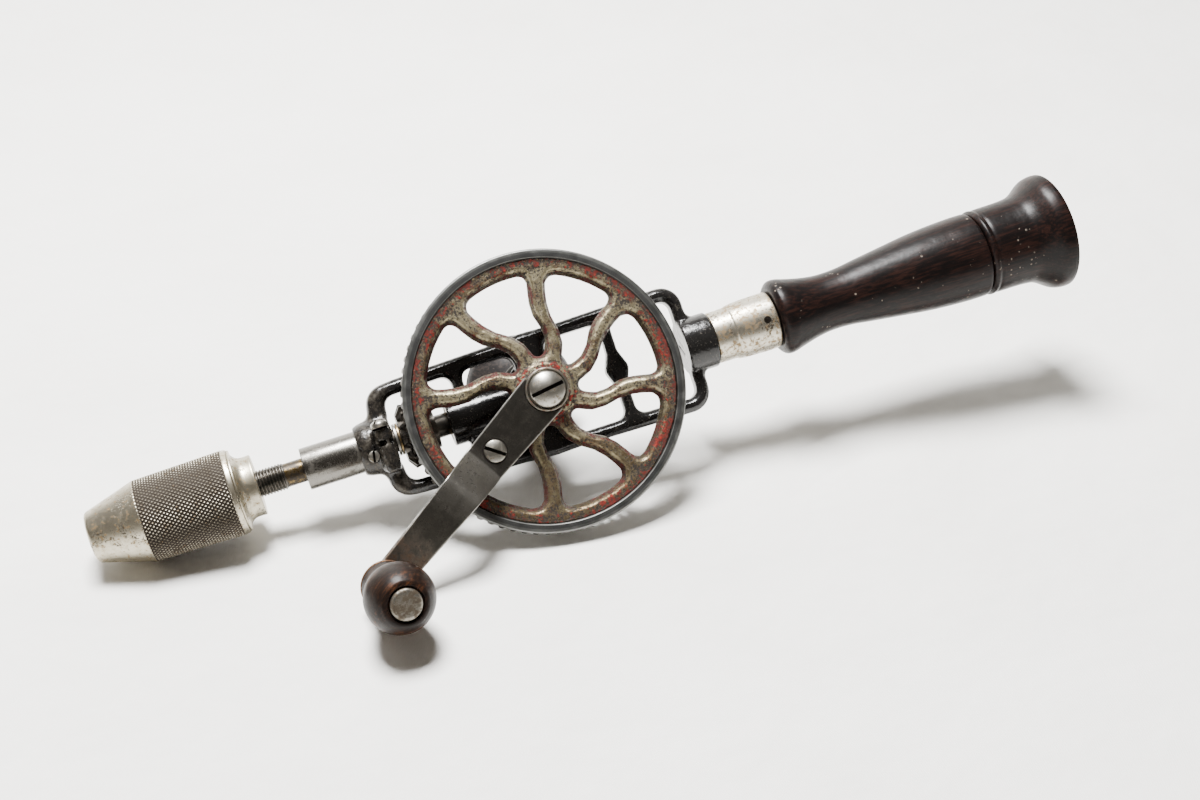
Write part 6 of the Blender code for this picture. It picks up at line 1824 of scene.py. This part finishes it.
@dataclass
class Frame:
    """Casting with its two small screws, and the knob on its far side.

    Attributes:
        grain: Size of the casting's quads.
        front: x in front of which the casting is rounder.
        lug: Middle of the clamp lug in x and z.
        lug_half: Half width of the lug in x and z.
        lug_foot: y of the foot of the lug.
        bosses: Front, back and radius of each boss that is a plain cylinder.
        clamp_at: y and z of the clamp screw's seat.
        clamp: The clamp screw's head.
        lock: The lock screw's head.
        base: Where the side knob starts along its bolt.
        end: Where it ends.
        crown: Where its round end starts, and the radius of the flat in its middle.
    """

    grain: float = 0.53
    front: float = -56.0
    lug: tuple[float, float] = (-66.5, -3.0)
    lug_half: tuple[float, float] = (3.8, 9.5)
    lug_foot: float = -9.0
    bosses: tuple[tuple[str, float, float, float], ...] = (
        ("rear_boss_skin", 62.9, 75.4, 11.75), ("centre_boss_skin", -39.45, 9.5, 9.75))
    clamp_at: tuple[float, float] = (-11.4, 6.3)
    clamp: SlottedHead = SlottedHead(radius=3.6, base=0.0, rim=1.75, dome=1.6, width=0.95,
                                     depth=1.4, turn=60.0)
    lock: SlottedHead = SlottedHead(radius=2.28, base=9.8, rim=3.3, dome=0.25, width=0.9,
                                    depth=0.9, turn=80.0)
    base: float = 14.8
    end: float = 45.8
    crown: tuple[float, float] = (36.5, 14.35)

    def build(self, rack: Rack) -> None:
        """Make the pieces.

        Args:
            rack: The shared lines and finishes.
        """
        self.casting(rack)
        for name, start, end, radius in self.bosses:
            turn_up(name, rolled(start, end, radius - 2, radius, 0.9, 6), rack.drill, steps=128,
                    closed=True).make(rack.enamel, "frame", "black_enamel")
        self.front_screws(rack)
        self.side_knob(rack)

    def casting(self, rack: Rack) -> None:
        """Softened casting, rounder in front, with a crowned clamp lug.

        With u and v the distances from the lug's middle in half widths, what stands out past
        the lug's foot is lowered by the share 0.34 u**2 + 0.16 v**2, at most a half.

        Args:
            rack: The shared lines and finishes.
        """
        skin = Skin.over(rack.nodes["frame_casting"], self.grain, rack.drill)
        skin.points = skin.softened(13, 0.85)
        points = skin.points
        points += (skin.softened(42, 0.0, 0.5) - points) * np.clip(
            (self.front - points[:, :1]) / 5, 0, 1)
        u, v = ((points[:, (0, 2)] - self.lug) / self.lug_half).T
        past = np.where(np.abs(u) < 1.3, np.minimum(points[:, 1] - self.lug_foot, 0), 0)
        points[:, 1] -= past * np.clip(0.34 * u ** 2 + 0.16 * v ** 2, 0, 0.5)
        Piece("frame_cast", points, skin.faces, rack.drill, 75.0, {"crest": skin.crest(5)}).make(
            Enamel().coat(rack.drill, True), "frame", "black_enamel", ("frame_casting",))

    def front_screws(self, rack: Rack) -> None:
        """Domed clamp screw on top of the lug, and the small lock screw beside it.

        Args:
            rack: The shared lines and finishes.
        """
        x = middle_of("clamp_screw", rack.drill)[0]
        top = Lines(rack.drill.to_bench(np.array([x, *self.clamp_at])),
                    rack.drill.axes[[0, 2, 1]] * [[1], [-1], [1]])
        self.clamp.shape("clamp_screw_head", top).make(
            rack.slotted, "frame", "bright_steel", ("clamp_screw",))
        middle = middle_of("lock_screw", rack.drill)
        self.lock.shape("lock_screw_head", rack.drill, (middle[0], middle[2])).make(
            rack.slotted, "frame", "dark_steel", ("lock_screw",))

    def side_knob(self, rack: Rack) -> None:
        """Dark turned knob on its collar, with the bolt in its end.

        The round end is a quarter of an ellipse round the flat in its middle.

        Args:
            rack: The shared lines and finishes.
        """
        ebony = Wood("side_knob_wood", (0.010, 0.009, 0.009), (0.030, 0.024, 0.021),
                     (0.060, 0.042, 0.030), patches=0.2, rough=0.34, gloss=0.04,
                     nicks=0.3).coat(Lines.through(rack.side.origin, rack.side.axes[1],
                                                   rack.side.axes[2]))
        turn_up("side_collar", rolled(11.9, 14.5, 3.6, 9.8, 0.3), rack.side, Along.FAR, 80,
                closed=True).make(rack.dark, "frame", "dark_steel", ("side_knob_collar",))
        base, end = self.base, self.end
        body = flowing([(base + 0.3, 9.6), (base + 1.9, 9.0), (base + 5.0, 8.4),
                        (base + 9.3, 11.1), (base + 14.0, 16.6), (base + 18.6, 21.8),
                        (base + 21.7, 23.5)], 90)
        t = np.linspace(0, pi / 2, 26)[1:]
        start, flat = self.crown
        crown = np.stack([start + (end - start) * np.sin(t), flat + 9.2 * np.cos(t)], 1)
        inner = eased([(end, 7.0, 0.3), (end - 0.5, 6.6, 0.1), (end - 2.0, 6.6, 0),
                       (end - 2.0, 3.6, 0)], 3)
        outline = np.concatenate([[(base, 3.6), (base, 9.3)], body, crown, inner])
        turn_up("side_knob_turned", outline, rack.side, Along.FAR, 144, closed=True).make(
            ebony, "frame", "rosewood", ("side_knob",))
        rack.dress("side_knob_bolt", rack.dark)


# --------------------------------------------------------------------------------------
# Studio
# --------------------------------------------------------------------------------------
@dataclass
class Studio:
    """Pale cloth, soft light from above and behind, and the camera.

    Attributes:
        camera_at: The camera's place along the drill's lines, in millimetres.
        right: Its right along the drill's lines.
        down: What is down in its view.
        ahead: Where it looks.
        cloth_half: Half width of the cloth in metres.
        bench: Front and back of its flat part.
        sweep: Radius of the arc that it sweeps up by, and the arc's angle.
        sheet: Start and end, in y and z, of the leaning sheet behind.
        lamp: Place of the lamp in metres.
        lamp_size: Its width.
        lamp_power: Its power.
        aim: Where it points.
        sky: Colour of the sky.
        sky_strength: Its strength.
    """

    camera_at: tuple[float, float, float] = (-88.95, -679.39, -25.4)
    right: tuple[float, float, float] = (0.93873, -0.14739, -0.31156)
    down: tuple[float, float, float] = (-0.30406, 0.07158, -0.94996)
    ahead: tuple[float, float, float] = (0.16231, 0.98649, 0.02238)
    cloth_half: float = 2.4
    bench: tuple[float, float] = (-1.6, 0.42)
    sweep: tuple[float, float] = (0.5, 1.25)
    sheet: tuple[tuple[float, float], tuple[float, float]] = ((0.95, 0.42), (1.6, 2.2))
    lamp: tuple[float, float, float] = (-0.12, 0.34, 1.30)
    lamp_size: float = 0.48
    lamp_power: float = 97.0
    aim: tuple[float, float, float] = (0.0, 0.0, 0.04)
    sky: Colour = (1.0, 0.90, 0.78)
    sky_strength: float = 0.17

    def build(self, rack: Rack) -> None:
        """Set the stage.

        Args:
            rack: The shared lines and finishes.
        """
        self.camera(rack.drill)
        self.cloth()
        self.lights()

    def camera(self, lines: Lines) -> None:
        """Camera at the photograph's place and angle.

        Args:
            lines: The drill's lines.
        """
        data = bpy.data.cameras.new("camera")
        data.lens, data.sensor_width = 50.0, 36.0
        data.clip_start, data.clip_end = 0.01, 20.0
        camera = bpy.data.objects.new("camera", data)
        bpy.context.scene.collection.objects.link(camera)
        columns = [np.array(v) @ lines.axes * sign
                   for v, sign in ((self.right, 1), (self.down, -1), (self.ahead, -1))]
        matrix = Matrix(np.stack(columns, 1).tolist()).to_4x4()
        matrix.translation = Vector(lines.to_bench(np.array(self.camera_at)).tolist())
        camera.matrix_world = matrix
        bpy.context.scene.camera = camera

    def cloth(self) -> None:
        """Cloth on the bench that sweeps up behind.

        Its height is 0 on the bench, follows an arc, and then rises evenly to the sheet's end.
        """
        front, back = self.bench
        radius, angle = self.sweep
        arc = np.linspace(0, angle, 16)[1:]
        sheet = np.linspace(*self.sheet, 6).T
        y = np.concatenate([np.linspace(front, back, 24), back + radius * np.sin(arc), sheet[0]])
        z = np.concatenate([np.zeros(24), radius * (1 - np.cos(arc)), sheet[1]])
        x = np.linspace(-self.cloth_half, self.cloth_half, 25)
        shape = (len(y), len(x))
        points = np.stack([np.broadcast_to(x, shape), np.broadcast_to(y[:, None], shape),
                           np.broadcast_to(z[:, None], shape)], -1).reshape(-1, 3)
        mesh = bpy.data.meshes.new("bench_cloth")
        mesh.from_pydata(points.tolist(), [], grid_faces(*shape, False, False).tolist())
        mesh.shade_smooth()
        cloth = bpy.data.objects.new("bench_cloth", mesh)
        bpy.context.scene.collection.objects.link(cloth)
        mesh.materials.append(Cloth().coat(Lines(np.zeros(3), np.eye(3))))

    def lights(self) -> None:
        """One lamp high above and a little behind, and a dim warm sky."""
        world = bpy.data.worlds.new("sky")
        bpy.context.scene.world = world
        world.use_nodes = True
        sky = world.node_tree.nodes["Background"].inputs
        sky["Color"].default_value = (*self.sky, 1)
        sky["Strength"].default_value = self.sky_strength
        data = bpy.data.lights.new("key", "AREA")
        data.size, data.energy = self.lamp_size, self.lamp_power
        lamp = bpy.data.objects.new("key", data)
        bpy.context.scene.collection.objects.link(lamp)
        lamp.location = self.lamp
        aim = Vector(self.aim) - Vector(self.lamp)
        lamp.rotation_euler = aim.to_track_quat("-Z", "Y").to_euler()


def lines_from(joints: list[dict], nodes: dict[str, bpy.types.Object]) -> Rack:
    """Read the drill's lines off its joints.

    Args:
        joints: The record's joints.
        nodes: CAD nodes by name.

    Returns:
        The rack, with lines for the drill, the crank, its knob and the side knob.
    """
    by_name = {joint["name"]: joint for joint in joints}
    out = np.array(by_name["crank_turn"]["axis"])
    along = np.array(by_name["spindle_spin"]["axis"])
    face = np.array(by_name["crank_turn"]["pos_m"])
    drill = Lines.through(face + out * FACE_Y * MM, along, -out)
    knob_at = np.array(by_name["knob_spin"]["pos_m"])
    place = drill.from_bench(knob_at[None])[0]
    arm = np.array([place[0], 0.0, place[2]]) @ drill.axes
    crank = Lines.through(drill.origin, arm, drill.axes[1])
    knob_out = np.array(by_name["knob_spin"]["axis"])
    knob = Lines.through(knob_at, crank.axes[0], -knob_out)
    middle = middle_of("side_knob_collar", drill)
    side = Lines(drill.to_bench(np.array([middle[0], 0.0, middle[2]])), drill.axes)
    return Rack(drill, crank, knob, side, nodes)


def main() -> None:
    """Dress the drill and set the stage."""
    logging.basicConfig(level=logging.INFO)
    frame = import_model()
    rack = lines_from(frame["joints"], frame["nodes"])
    for part in (Frame(), Handle(), Chuck(), Spindle(), Wheel(), Crank(), Studio()):
        part.build(rack)


if __name__ == "__main__":
    main()
